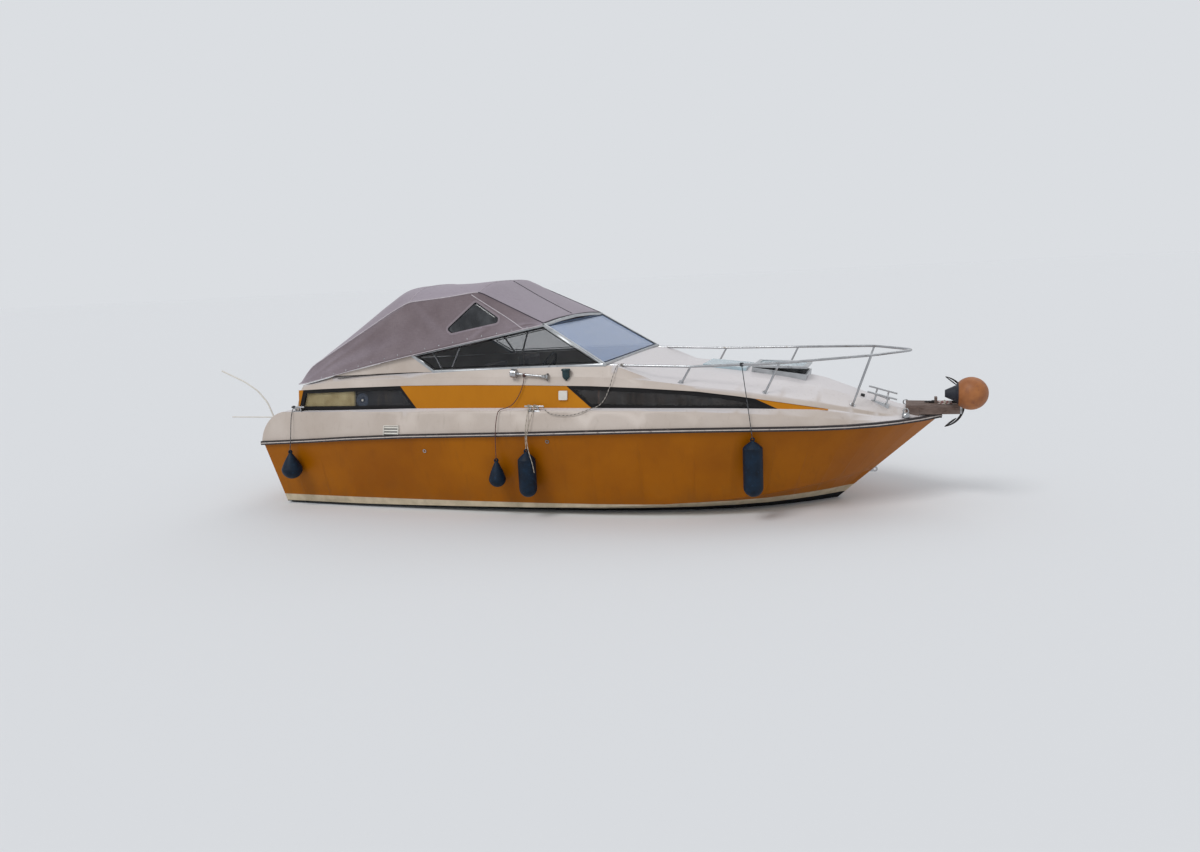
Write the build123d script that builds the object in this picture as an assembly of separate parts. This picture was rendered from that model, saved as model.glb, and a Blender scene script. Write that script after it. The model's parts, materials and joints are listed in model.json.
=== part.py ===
from build123d import *
import os
from math import atan2, cos, degrees, pi, radians, sin, sqrt, tan

os.makedirs("parts", exist_ok=True)

# Small cabin cruiser afloat, millimetres. +X is the bow, +Y is port, +Z is up.
# The origin is on the centreline, at the waterline, amidships.

# Driving sizes of the shell
HULL_WALL = 14
DECK_WALL = 22
TRANSOM_WALL = 45
STEM_WALL = 70
DECK_AFT_X = -3560
FIT = 0.3

# Rub rail line: x, half-breadth, height
RAIL = [
    (-3600, 1108, 688),
    (-3500, 1120, 694),
    (-2750, 1180, 745),
    (-2000, 1220, 797),
    (-1000, 1243, 832),
    (0, 1252, 863),
    (500, 1248, 881),
    (1000, 1213, 890),
    (1500, 1138, 890),
    (2000, 1000, 877),
    (2500, 800, 856),
    (2800, 640, 848),
    (3000, 505, 845),
    (3200, 345, 845),
    (3350, 200, 847),
    (3500, 24, 850),
]

# Hull sections, each in its own leaning plane:
# sheer x, keel x, keel z, chine half-breadth, chine z
HULL = [
    (-3525, -3262, -350, 1035, 20),
    (-2400, -2400, -372, 1080, 35),
    (-1000, -1000, -388, 1105, 60),
    (300, 300, -388, 1085, 95),
    (1330, 1230, -370, 985, 150),
    (2080, 1830, -295, 800, 210),
    (2700, 2190, -205, 500, 262),
    (3120, 2370, -130, 235, 292),
    (3500, 2450, -80, 16, 312),
]
# Stations shared by the hull and the deck, so that they meet on one line
STATIONS = [
    -3525, -3200, -2800, -2400, -1700, -1000, -350, 300, 800, 1330, 1700, 2080, 2400, 2700, 2930,
    3120, 3320, 3500,
]
CHINE_FLAT = 55
CHINE_DROP = 14

# Deck moulding lines. Each is x, height.
KNUCKLE = [
    (-3600, 1034), (-3160, 1034), (-2370, 1045), (-1000, 1062), (430, 1072), (1300, 1052),
    (2000, 996), (2610, 916), (3060, 868), (3500, 862),
]
STRIPE_LOW = [
    (-3600, 1036), (-3110, 1036), (-2417, 1053), (-1794, 1072), (-980, 1083), (284, 1087),
    (1360, 1074), (1970, 1045), (2520, 996), (3060, 874), (3500, 868),
]
STRIPE_TOP = [
    (-3600, 1225), (-3030, 1262), (-2410, 1290), (-1790, 1311), (-980, 1317), (0, 1307),
    (410, 1296), (1180, 1249), (1540, 1202), (1900, 1138), (2250, 1064), (2515, 1007),
    (3060, 880), (3500, 874),
]
DECK_EDGE = [
    (-3600, 1270), (-2900, 1322), (-2400, 1366), (-1000, 1386), (0, 1390), (630, 1367),
    (890, 1337), (1260, 1285), (1540, 1249), (1900, 1178), (2250, 1110), (2510, 1048),
    (2800, 972), (3110, 888), (3500, 880),
]
CROWN = [
    (-3600, 1300), (-2900, 1345), (-2400, 1390), (-1000, 1410), (0, 1415), (1067, 1403),
    (1630, 1351), (2310, 1250), (2630, 1140), (3000, 1010), (3220, 938), (3410, 908), (3500, 898),
]
COAMING_TOP = [
    (-3100, 1300), (-2950, 1326), (-2650, 1405), (-1420, 1436), (-670, 1463), (0, 1478), (470, 1484),
    (560, 1478), (950, 1322),
]
COAMING_CROWN = [
    (-3100, 1305), (-2950, 1332), (-2650, 1412), (-1420, 1444), (0, 1486), (470, 1492),
    (560, 1486), (950, 1396),
]
KNUCKLE_INSET = 60
STRIPE_LOW_INSET = 130
STRIPE_TOP_INSET = 160
EDGE_INSET = 190
COAMING_INSET = 240
NOSE_SHARE = 0.6
RAISED_STATIONS = [-3090, -2950, -2650, -1700, -1000, -350, 0, 470, 560, 950]

# Aft deck: where the cabin side ends, and how the quarter rounds down
AFT_DECK_Z = 1036
AFT_END_LOW_X = -3130
AFT_END_LEAN = 0.32
QUARTER_MID = (-3440, 948)
QUARTER_LOW = (-3552, 690)

# Stripe let into the side of the deck moulding
STRIPE_RECESS = 12
STRIPE_THICK = 7
STRIPE_AFT_X = -3095
STRIPE_TIP_X = 2500

# Side windows, corners as x, z
AFT_WINDOW = [(-3062, 1058), (-3008, 1246), (-1782, 1296), (-1607, 1086)]
FORE_WINDOW = [(300, 1104), (72, 1293), (400, 1281), (1180, 1233), (1540, 1186), (1760, 1146), (1935, 1060)]
WINDOW_FRAME = 24

# Cockpit and cabin
OPENING_AFT_X = -2860
OPENING_FORE_X = 360
OPENING_AFT_Y = 830
OPENING_FORE_Y = 925
OPENING_ROUND = 90
SOLE_Z = 550
LINER_WALL = 15
BULKHEAD_WALL = 20
DOOR_LOW = (-20, 600)
DOOR_HIGH = (520, 1330)
DOOR_WALL = 24
BERTH_Z = 380
BERTH_AFT_X = 800
BERTH_FORE_X = 2650

# Aft bench over the engine
BENCH_AFT_X = -2815
BENCH_LENGTH = 560
BENCH_WIDTH = 1560
BENCH_TOP_Z = 900
BENCH_WALL = 18
BENCH_CUSHION = 80
BENCH_CUSHION_AFT = 130
ENGINE_SIZE = (820, 560, 640)
ENGINE_MID = (-2780, 0, 100)

# Seats and helm
SEAT_X = -780
SEAT_Y = 460
SEAT_HEIGHT = 400
SEAT_SIZE = (440, 470)
SEAT_BACK = 500
CONSOLE_AFT_X = -150
CONSOLE_Y = (-860, -90)
CONSOLE_Z = (1090, 1425)
WHEEL_MID = (-376, -450, 1407)
WHEEL_LEAN = 25
WHEEL_RADIUS = 172
WHEEL_RIM = 12

# Windscreen corners and the bars between them
SCREEN_TOP = (-208, 905, 1886)
SCREEN_TOP_BOW = (-200, 450, 1912)
SCREEN_TOP_MID = (-197, 0, 1922)
SCREEN_FOOT = (435, 1000, 1494)
SCREEN_AFT_FOOT = (-1420, 985, 1448)
SCREEN_AFT_TOP_X = -1680
SCREEN_AFT_TOP_Z = 1612
SCREEN_BAR = 28
GLASS = 6
QUARTER_PANEL = [(-2650, 968, 1408), (-1700, 950, 1606), (-1440, 984, 1440)]
PANEL_WALL = 16

# Canopy sections: x, hem y, hem z, seam y, seam z, shoulder y, shoulder z, centre z
CANOPY = [
    (-3120, 940, 1318, 880, 1335, 500, 1392, 1408),
    (-3000, 962, 1330, 860, 1490, 500, 1598, 1625),
    (-2660, 985, 1408, 855, 1676, 500, 1822, 1880),
    (-2220, 995, 1505, 850, 1909, 500, 2108, 2160),
    (-1950, 992, 1560, 842, 2058, 500, 2270, 2306),
    (-1740, 990, 1602, 835, 2156, 500, 2282, 2314),
    (-1300, 985, 1684, 830, 2190, 500, 2296, 2326),
    (-930, 978, 1752, 826, 2236, 500, 2318, 2336),
    (-215, 930, 1888, 895, 1902, 500, 1925, 1932),
]
CANOPY_WALL = 8
HOOP_RADIUS = 11
HOOP_FOOT = (-1300, 940, 1440)
HOOP_SPREAD = 45
# Hoops: corner x, corner y, corner z, middle z
HOOPS = [
    (-1745, 805, 2125, 2280),
    (-935, 798, 2200, 2312),
]
CANOPY_WINDOW = [(-1283, 1866), (-960, 2138), (-700, 1970), (-700, 1918), (-1218, 1824)]
CANOPY_WINDOW_ROUND = 28

# Foredeck hatch and panel
HATCH_AFT_X = 1730
HATCH_LENGTH = 540
HATCH_WIDTH = 520
HATCH_WALL = 20
HATCH_TOP = 28
HATCH_LID = 24
HATCH_AJAR = 6
PANEL_AFT_X = 1235
PANEL_LENGTH = 440
PANEL_WIDTH = 500

# Bow rail
RAIL_RADIUS = 12.5
RAIL_PATH = [
    (480, 925, 1480),
    (1262, 930, 1457),
    (2075, 800, 1465),
    (2880, 470, 1490),
    (3279, 0, 1488),
]
RAIL_BENDS = [900, 900, 420, 150, 420, 900, 900]
# Stanchions: foot x, foot y, foot z, head x, head y, head z
STANCHIONS = [
    (1165, 945, 1290, 1262, 930, 1457),
    (1933, 779, 1180, 2075, 800, 1465),
    (2708, 449, 1010, 2880, 470, 1490),
]

# Cleats, one on each side: x, y, height of the deck, length, rise of the bar, lean with the deck
CLEATS = {
    "bow_cleats": [(2953, 200, 1000, 285, 74, 16)],
    "side_cleats": [(-3075, -1060, 1036, 160, 46, 0), (-255, -1170, 1071, 200, 42, 0)],
}
CLEAT_RADIUS = 9
CLEAT_BASE = 46
CLEAT_SEAT = 60

# Bow platform, roller, anchor and float
PLATFORM_X = (3190, 3680)
PLATFORM_AFT_Y = 170
PLATFORM_TIP_Y = 120
PLATFORM_Z = 945
SLAT = 24
SLAT_GAP = 9
SLAT_COUNT = 5
ROLLER_X = 3668
ROLLER_Z = 900
ROLLER_RADIUS = 28
SIDE_BOARD = 18
SIDE_BOARD_DEPTH = 66
POST_X = (3452, 3478)
POST_HALF = 46
POST_RISE = 58
FLOAT_RADIUS = 155
FLOAT_X = 3770
FLOAT_Y = -170
FLOAT_NECK = (78, 34, 96)
FLOAT_EYE_X = 3560

# Anchor: a bar shank with two crescent arms, each ending in a leaf
SHANK_RADIUS = 11
SHANK_AFT_X = 3400
CROWN_X = 3726
ARM_WALL = 14
# Edges of an arm as x and distance from the shank: foot, middle, tip
ARM_OUTSIDE = [(3726, 0), (3696, 150), (3548, 246)]
ARM_INSIDE = [(3704, 0), (3678, 140), (3552, 240)]
PALM_LENGTH = 132
PALM_HALF = 40
PALM_WALL = 6

# Bow chocks, deck cap, hull fittings
CHOCK = (3190, 290, 934)
CHOCK_RADIUS = 24
CHOCK_TUBE = 6
DECK_CAP = (2785, -170, 1046)
DECK_CAP_RADIUS = 20
SOCKET_COVER = (30, 1212)
SOCKET_SIZE = 88
SOCKET_OUT = 14
SOCKET_IN = 9
DRAINS = [(-1481, 654), (-113, 776)]
DRAIN_RADIUS = 19
VENT = (-1848, 861)
VENT_SIZE = (86, 46)
BOW_EYE_Z = 300
BOW_EYE_HOLE = 12
BOW_EYE_WALL = 12
BOW_EYE_RADIUS = 28
BOW_EYE_OUT = 22

# Horn on the starboard coaming: drum, throat and bell along one axis
HORN_DRUM = (-484, -1085, 1428)
HORN_LEAN = 6.1
# Outline of the horn: distance along its axis, radius
HORN_OUTLINE = [
    (-32, 0), (-32, 38), (-26, 44), (26, 44), (32, 38), (34, 16), (62, 10), (240, 10), (300, 14),
    (334, 22), (352, 37), (358, 38), (356, 33), (336, 17), (300, 9), (296, 0),
]
HORN_FEET = (0, 300)

# Side lamps
LAMP = (60, 1076, 1412)
# Outline of a lamp: height from its middle, radius
LAMP_OUTLINE = [
    (56, 0), (56, 38), (48, 46), (40, 46), (36, 38), (-24, 36), (-44, 24), (-50, 9), (-60, 9), (-60, 0),
]

# Curved pole and rod on the starboard quarter
POLE_RADIUS = 9
POLE_Y = -900
POLE_PATH = [(-3500, 800), (-3535, 960), (-3592, 1108), (-3706, 1240), (-3868, 1343), (-4167, 1470)]
ROD_RADIUS = 7
ROD_PATH = [(-3490, 943), (-4095, 943)]

# Boards behind the aft windows and curtains behind the fore ones
BOARD_NEAR = 24.2
BOARD_WALL = 9
BOARD_MARGIN = 30

# Sterndrive
SHIELD_Z = 30
SHIELD_SIZE = (340, 430)
SHIELD_WALL = 45
STEER_X = -3500
TILT_X = -3600
TILT_Z = 40
YOKE_HALF = 84
LEG_HALF = 58
SHAFT_Z = -560
PROP_RADIUS = 190
PROP_X = -4010
PROP_PITCH = 430
BLADES = 3

# Fenders on the starboard side: x, height of the eye, radius, length, height of the coned head
FENDERS = {
    "stern_fender": (-3112, 640, 110, 315, 205),
    "mid_fender_aft": (-645, 612, 85, 290, 205),
    "mid_fender_fore": (-318, 712, 88, 480, 105),
    "bow_fender": (1856, 815, 92, 560, 100),
}
FENDER_EYE = 22
FENDER_EYE_HOLE = 9
FENDER_NECK = 17
FENDER_EYE_WALL = 18
FENDER_OUT = 40

# Lines: points of each route, starboard side
LINE_RADIUS = 4
LINES = {
    "stern_lanyard": [(-3128, -1066, 1078), (-3125, -1122, 1036), (-3113, -1194, 728), (-3112, -1223, 638)],
    "mid_lanyard_aft": [
        (-376, -1085, 1408), (-379, -1097, 1352), (-396, -1108, 1290), (-424, -1117, 1225),
        (-462, -1127, 1165), (-508, -1141, 1116), (-560, -1168, 1094), (-610, -1194, 1086),
        (-636, -1214, 1056), (-643, -1288, 858), (-645, -1288, 610),
    ],
    "mid_lanyard_fore": [(-305, -1171, 1110), (-312, -1214, 1064), (-322, -1290, 858), (-318, -1290, 710)],
    "mid_lanyard_end": [
        (-245, -1171, 1110), (-262, -1215, 1062), (-300, -1294, 864), (-297, -1310, 800),
        (-283, -1332, 742), (-262, -1352, 682), (-241, -1358, 620), (-228, -1352, 555),
        (-222, -1346, 490),
    ],
    "bow_lanyard": [(1733, -857, 1452), (1846, -1090, 893), (1856, -1104, 813)],
    "slack_line": [
        (588, -930, 1474), (578, -962, 1493), (566, -1000, 1492), (556, -1032, 1468),
        (546, -1060, 1425), (532, -1086, 1372), (514, -1102, 1310), (492, -1114, 1245),
        (462, -1124, 1182), (423, -1137, 1130), (372, -1162, 1100), (312, -1198, 1088),
        (244, -1213, 1060), (172, -1218, 1040), (98, -1220, 1032), (22, -1220, 1033),
        (-52, -1217, 1042), (-108, -1208, 1064), (-142, -1190, 1092), (-162, -1174, 1112),
    ],
}
# Corners of a line that are as tight as the edge it is pulled over: line, corner, radius
TIGHT_CORNERS = {
    ("stern_lanyard", 1): 24,
    ("stern_lanyard", 2): 26,
    ("mid_lanyard_aft", 9): 26,
    ("mid_lanyard_fore", 1): 24,
    ("mid_lanyard_fore", 2): 26,
    ("mid_lanyard_end", 1): 24,
    ("bow_lanyard", 1): 40,
}
# Coil of the float's line on the platform: middle, half length, half breadth, half thickness
COIL_MID = (3545, -78)
COIL_HALF = (60, 40)
COIL_THICK = 15


def along(table, x, column=1):
    """Height or breadth of a tabled line at x, with smooth slopes between its points."""
    rows = sorted(table)
    if x <= rows[0][0]:
        return rows[0][column]
    if x >= rows[-1][0]:
        return rows[-1][column]
    i = max(k for k in range(len(rows) - 1) if rows[k][0] <= x)
    x0, x1 = rows[i][0], rows[i + 1][0]
    v0, v1 = rows[i][column], rows[i + 1][column]
    before = rows[max(i - 1, 0)]
    after = rows[min(i + 2, len(rows) - 1)]
    slope0 = (v1 - before[column]) / (x1 - before[0])
    slope1 = (after[column] - v0) / (after[0] - x0)
    span = x1 - x0
    t = (x - x0) / span
    a = 2 * t**3 - 3 * t**2 + 1
    b = t**3 - 2 * t**2 + t
    c = -2 * t**3 + 3 * t**2
    d = t**3 - t**2
    return a * v0 + b * span * slope0 + c * v1 + d * span * slope1


def rail_y(x):
    return along(RAIL, x, 1)


def rail_z(x):
    return along(RAIL, x, 2)


def inset_y(x, inset):
    """Half-breadth in from the rub rail, narrowed towards the stem."""
    full = rail_y(x)
    return max(full - inset, full * (1 - NOSE_SHARE * inset / 240))


def mirrored(points):
    """A half section from the centreline or side outwards, closed by its mirror image."""
    other = [(x, -y, z) for x, y, z in reversed(points) if abs(y) > 1e-6]
    return points + other


def polygon(points):
    return Wire.make_polygon([Vector(*p) for p in points], close=True)


def skin(sections):
    """A solid with straight runs between its sections."""
    return Solid.make_loft([polygon(s) for s in sections], True)


def port_of(shape):
    return mirror(shape, about=Plane.XZ)


def pair(shape):
    return [shape, port_of(shape)]


def box(x0, x1, y0, y1, z0, z1):
    return Pos((x0 + x1) / 2, (y0 + y1) / 2, (z0 + z1) / 2) * Box(x1 - x0, y1 - y0, z1 - z0)


def bar(start, end, radius):
    """A round bar from one point to another."""
    start, end = Vector(*start), Vector(*end)
    way = end - start
    return Solid.make_cylinder(radius, way.length, Plane(origin=start, z_dir=way))


def beam(start, end, width, depth):
    """A rectangular bar, carried past both its ends by half its width."""
    start, end = Vector(*start), Vector(*end)
    way = (end - start).normalized()
    across = way.cross(Vector(0, 0, 1)).normalized()
    long = (end - start).length + width
    place = Plane(origin=(start + end) * 0.5, x_dir=across, z_dir=way)
    return Location(place) * Box(depth, width, long)


def tube(points, radii, radius):
    """A round tube along straight runs joined by arcs."""
    path = FilletPolyline(*points, radius=radii)
    profile = Plane(origin=path @ 0, z_dir=path % 0) * Circle(radius)
    return sweep(profile, path=path)


def plate(points, thickness):
    """A flat plate of a 3-D outline, as thick on each side of it."""
    face = Face(polygon(points))
    return extrude(face, amount=thickness / 2, dir=face.normal_at(), both=True)


def side_prism(outline, inset=0.0):
    """An outline in x and z, drawn in by inset and carried out to starboard."""
    face = make_face(Polyline(*outline, close=True))
    if inset:
        face = offset(face, amount=-inset, kind=Kind.INTERSECTION)
    return extrude(Plane.XZ * face, amount=1400)


def save(name, *shapes):
    solids = []
    for shape in shapes:
        solids += shape.solids() if hasattr(shape, "solids") else [shape]
    export_step(Compound(children=list(solids)), f"parts/{name}.step")


# Hull shell


def hull_section(sheer_x, wall=0.0, rise=0.0, shift=0.0, narrow=False):
    """Section of the hull: keel, chine flat, chine, sheer, in a leaning plane."""
    keel_x, keel_z, chine_y, chine_z = (along(HULL, sheer_x, column) for column in (1, 2, 3, 4))
    sheer_y, sheer_z = rail_y(sheer_x), rail_z(sheer_x)
    lean = (sheer_x - keel_x) / (sheer_z - keel_z)
    flat = min(CHINE_FLAT, chine_y * 0.4)
    drop = CHINE_DROP * flat / CHINE_FLAT
    if narrow:
        chine_y, sheer_y, flat, wall_y = 6, 8, 2, 0
    else:
        wall_y = wall
    half = [
        (0, keel_z + 1.15 * wall),
        (chine_y - flat - wall_y, chine_z - drop + 0.9 * wall),
        (chine_y - wall_y, chine_z + 0.4 * wall),
        (sheer_y - wall_y, sheer_z + rise),
    ]
    return mirrored([(keel_x + shift + lean * (z - keel_z), y, z) for y, z in half])


def make_hull_space():
    """The space inside the shell, open at the sheer."""
    rise = 20
    sections = [hull_section(STATIONS[0], HULL_WALL, rise, TRANSOM_WALL)]
    sections += [hull_section(x, HULL_WALL, rise) for x in STATIONS[1:-1]]
    sections.append(hull_section(STATIONS[-1], HULL_WALL, rise, -STEM_WALL, narrow=True))
    return skin(sections)


# Deck moulding


def deck_section(x, wall=0.0, drop=0.0):
    """Half section of the deck moulding, from its foot at the rub rail up to the crown."""
    edge_y, edge_z = inset_y(x, EDGE_INSET), along(DECK_EDGE, x)
    crown_z = along(CROWN, x)
    half = [
        (rail_y(x) - wall, rail_z(x) - drop),
        (inset_y(x, KNUCKLE_INSET) - wall, along(KNUCKLE, x) - wall * 0.5),
        (inset_y(x, STRIPE_LOW_INSET) - wall, along(STRIPE_LOW, x) - wall * 0.5),
        (inset_y(x, STRIPE_TOP_INSET) - wall, along(STRIPE_TOP, x) - wall * 0.3),
        (edge_y - wall, edge_z - wall),
        (edge_y * 0.55, crown_z - 0.27 * (crown_z - edge_z) - wall),
        (0, crown_z - wall),
    ]
    return [(x, max(y, 2.0) if i < 5 else y, z) for i, (y, z) in enumerate(half)]


def full_deck_section(x, wall=0.0, drop=0.0):
    half = deck_section(x, wall, drop)
    return half + [(px, -y, z) for px, y, z in reversed(half[:-1])]


def aft_cutter(shift=0.0):
    """What lies aft of the cabin side and above the aft deck and its rounded quarter."""
    top_z = 1800
    deck_z = AFT_DECK_Z - shift
    low_x = AFT_END_LOW_X + shift
    top_x = low_x + AFT_END_LEAN * (top_z - deck_z)
    round_x = low_x - 60
    mid = (QUARTER_MID[0] + shift, QUARTER_MID[1] - shift)
    low = (QUARTER_LOW[0] + shift, QUARTER_LOW[1])
    with BuildSketch(Plane.XZ) as profile:
        with BuildLine():
            Line((low_x, deck_z), (top_x, top_z))
            Line((top_x, top_z), (-3900, top_z))
            Line((-3900, top_z), (-3900, low[1] - 60))
            Line((-3900, low[1] - 60), (low[0] + 12, low[1] - 60))
            Line((low[0] + 12, low[1] - 60), low)
            ThreePointArc(low, mid, (round_x, deck_z))
            Line((round_x, deck_z), (low_x, deck_z))
        make_face()
    return extrude(profile.sketch, amount=1500, both=True)


def raised_section(x):
    """Half section of the raised coaming and of the plinth that carries the windscreen."""
    foot_z = along(DECK_EDGE, x) - 26
    edge_y = inset_y(x, EDGE_INSET) - 2
    top_z, crown_z = along(COAMING_TOP, x), along(COAMING_CROWN, x)
    top_y = inset_y(x, COAMING_INSET)
    half = [
        (x, edge_y, foot_z),
        (x, edge_y, min(along(DECK_EDGE, x), top_z - 2)),
        (x, top_y, top_z),
        (x, top_y * 0.55, crown_z - 0.27 * (crown_z - top_z)),
        (x, 0, crown_z),
    ]
    return half + [(px, -y, z) for px, y, z in reversed(half[:-1])]


def cockpit_opening(z0, z1, grow=0.0):
    """The cockpit's plan as a prism, wider by grow."""
    corners = [
        (OPENING_AFT_X - grow, -OPENING_AFT_Y - grow),
        (OPENING_FORE_X + grow, -OPENING_FORE_Y - grow),
        (OPENING_FORE_X + grow, OPENING_FORE_Y + grow),
        (OPENING_AFT_X - grow, OPENING_AFT_Y + grow),
    ]
    face = Face(polygon([(x, y, z0) for x, y in corners]))
    prism = extrude(face, amount=z1 - z0, dir=(0, 0, 1))
    return fillet(prism.edges().filter_by(Axis.Z), OPENING_ROUND + grow)


def side_band(near, far, over=0.0):
    """The stripe's band on the starboard side, between two depths in from its face."""
    stations = [x for x in STATIONS if STRIPE_AFT_X < x < STRIPE_TIP_X]
    stations = [STRIPE_AFT_X - over] + stations + [STRIPE_TIP_X + over]
    sections = []
    for x in stations:
        low_y, top_y = inset_y(x, STRIPE_LOW_INSET), inset_y(x, STRIPE_TOP_INSET)
        low_z = along(STRIPE_LOW, x) + 2
        top_z = max(along(STRIPE_TOP, x) - 2, low_z + 6)
        sections.append([
            (x, -low_y + near, low_z),
            (x, -top_y + near, top_z),
            (x, -top_y + far, top_z),
            (x, -low_y + far, low_z),
        ])
    return skin(sections)


hull_solid = skin([hull_section(x) for x in STATIONS])
hull_space = make_hull_space()
deck_loft = skin([full_deck_section(x) for x in [DECK_AFT_X] + STATIONS])
deck_hollow = skin([
    full_deck_section(x, DECK_WALL, 40)
    for x in [DECK_AFT_X + DECK_WALL] + STATIONS[1:-1] + [STATIONS[-1] - STEM_WALL]
])
raised = skin([raised_section(x) for x in RAISED_STATIONS])
deck_solid = deck_loft - aft_cutter() + (raised - aft_cutter())
deck_space = deck_hollow - aft_cutter(DECK_WALL)

hull_shell = hull_solid - hull_space
deck_shell = deck_solid - deck_space - cockpit_opening(1100, 2200)


def crown_place(x0, x1):
    """A frame on the foredeck's crown at x0, leaning with the deck up to x1."""
    z0, z1 = along(CROWN, x0), along(CROWN, x1)
    return Location((x0, 0, z0), (0, -degrees(atan2(z1 - z0, x1 - x0)), 0))


hatch_place = crown_place(HATCH_AFT_X, HATCH_AFT_X + HATCH_LENGTH)
half_hatch = HATCH_WIDTH / 2
hatch_tube = hatch_place * box(0, HATCH_LENGTH, -half_hatch, half_hatch, -60, HATCH_TOP)
recess = side_band(-40, STRIPE_RECESS)
aft_light = side_prism(AFT_WINDOW)
fore_light = side_prism(FORE_WINDOW)
for cut in (recess, aft_light, fore_light):
    deck_shell = deck_shell - cut - port_of(cut)
deck_shell = deck_shell - hatch_tube


def seated(shape):
    """What of a fitting stands clear of the hull and deck, so that its foot follows them."""
    return shape - deck_solid - hull_solid


# Rub rail


def rail_slab(out, half, x0, x1):
    """A slab as wide as the boat at the rub rail, which two of them make a ring."""
    sections = []
    for x in [x0] + [s for s in STATIONS if x0 + 60 < s < x1 - 10] + [x1]:
        y, z = max(rail_y(x) + out, 4), rail_z(x)
        sections.append([(x, -y, z - half), (x, y, z - half), (x, y, z + half), (x, -y, z + half)])
    return skin(sections)


rub_rail = rail_slab(20, 21, DECK_AFT_X + 5, STATIONS[-1] + 22) - hull_solid - deck_solid
rub_rail = rub_rail - rail_slab(-30, 30, DECK_AFT_X - 20, 3400)
rub_insert = rail_slab(23, 5, DECK_AFT_X + 5, STATIONS[-1] + 25)
rub_insert = rub_insert - rail_slab(16, 30, DECK_AFT_X - 20, STATIONS[-1] + 18)
rub_insert = rub_insert - hull_solid - deck_solid
rub_rail = rub_rail - rub_insert

# Stripe and side windows

stripe = side_band(STRIPE_RECESS - STRIPE_THICK, STRIPE_RECESS) - aft_light - fore_light


def window_parts(outline):
    """The frame that lines a side window and the pane inside it."""
    inside = side_prism(outline, WINDOW_FRAME)
    frame = (side_band(2, DECK_WALL) & side_prism(outline)) - inside
    pane = side_band(7, 7 + GLASS) & inside
    return frame, pane


aft_frame, aft_pane = window_parts(AFT_WINDOW)
fore_frame, fore_pane = window_parts(FORE_WINDOW)

# Cockpit liner, bulkhead, door and console

inside_boat = hull_space + deck_space
liner = cockpit_opening(SOLE_Z - LINER_WALL, 1500, LINER_WALL) - cockpit_opening(SOLE_Z, 1600)
liner = (liner & inside_boat) - deck_shell
door_hole = box(
    OPENING_FORE_X - 30, OPENING_FORE_X + 80, DOOR_LOW[0], DOOR_HIGH[0], DOOR_LOW[1], DOOR_HIGH[1])
engine_hole = box(
    BENCH_AFT_X + 60, BENCH_AFT_X + BENCH_LENGTH - 60, -BENCH_WIDTH / 3, BENCH_WIDTH / 3,
    SOLE_Z - 100, SOLE_Z + 40,
)
liner = liner - door_hole - engine_hole

bulkhead_x = OPENING_FORE_X + LINER_WALL
bulkhead = box(bulkhead_x, bulkhead_x + BULKHEAD_WALL, -1400, 1400, -500, 1700) & inside_boat
bulkhead = bulkhead - deck_shell - hull_shell - liner - door_hole
berth = box(BERTH_AFT_X, BERTH_FORE_X, -1200, 1200, BERTH_Z - 18, BERTH_Z) & hull_space
berth_front = box(BERTH_AFT_X, BERTH_AFT_X + 18, -1200, 1200, -500, BERTH_Z - 18) & hull_space
berth_cushion = box(BERTH_AFT_X, BERTH_FORE_X - 120, -1150, 1150, BERTH_Z, BERTH_Z + 90) & hull_space

door = box(
    OPENING_FORE_X - DOOR_WALL, OPENING_FORE_X - FIT, DOOR_LOW[0] - 15, DOOR_HIGH[0] + 15,
    DOOR_LOW[1] - 15, DOOR_HIGH[1] + 15,
)
console = box(CONSOLE_AFT_X, OPENING_FORE_X + 5, *CONSOLE_Y, *CONSOLE_Z)
console = console - liner - deck_shell - raised

lean = radians(WHEEL_LEAN)
shaft_way = Vector(cos(lean), 0, -sin(lean))
wheel_mid = Vector(*WHEEL_MID)
wheel_plane = Plane(origin=wheel_mid, x_dir=(0, 1, 0), z_dir=shaft_way)


def make_steering_wheel():
    rim = Location(wheel_plane) * Torus(WHEEL_RADIUS, WHEEL_RIM)
    hub = Location(wheel_plane) * Pos(0, 0, 8) * Cylinder(32, 40)
    spokes = [
        Location(wheel_plane) * Rot(0, 0, turn) * Pos(WHEEL_RADIUS / 2 + 8, 0, 0)
        * Box(WHEEL_RADIUS - 24, 34, 8)
        for turn in (-90, 30, 150)
    ]
    whole = rim + hub
    for spoke in spokes:
        whole = whole + spoke
    return whole


steering_wheel = make_steering_wheel()
column = bar(wheel_mid + shaft_way * (28 + FIT), wheel_mid + shaft_way * 330, 30) - console

# Aft bench and engine

bench_fore_x = BENCH_AFT_X + BENCH_LENGTH
half_bench = BENCH_WIDTH / 2
bench = box(BENCH_AFT_X, bench_fore_x, -half_bench, half_bench, SOLE_Z, BENCH_TOP_Z)
bench = bench - box(
    BENCH_AFT_X + BENCH_WALL, bench_fore_x - BENCH_WALL, -half_bench + BENCH_WALL,
    half_bench - BENCH_WALL, SOLE_Z - 10, BENCH_TOP_Z + 10,
)
lid_z = BENCH_TOP_Z + FIT
bench_lid = box(BENCH_AFT_X, bench_fore_x + 12, -half_bench - 8, half_bench + 8, lid_z, lid_z + 20)
cushion_z = lid_z + 20
bench_cushion = box(
    BENCH_AFT_X + BENCH_CUSHION_AFT, bench_fore_x + 8, -half_bench + 4, half_bench - 4,
    cushion_z, cushion_z + BENCH_CUSHION,
)
bench_cushion = fillet(bench_cushion.edges(), 18)
engine = Pos(*ENGINE_MID) * Box(*ENGINE_SIZE)
engine = engine & hull_space
beds = [
    box(-3250, -2150, side * 200 - 35, side * 200 + 35, -420, ENGINE_MID[2] - ENGINE_SIZE[2] / 2)
    & hull_space
    for side in (-1, 1)
]

# Seats


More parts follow.
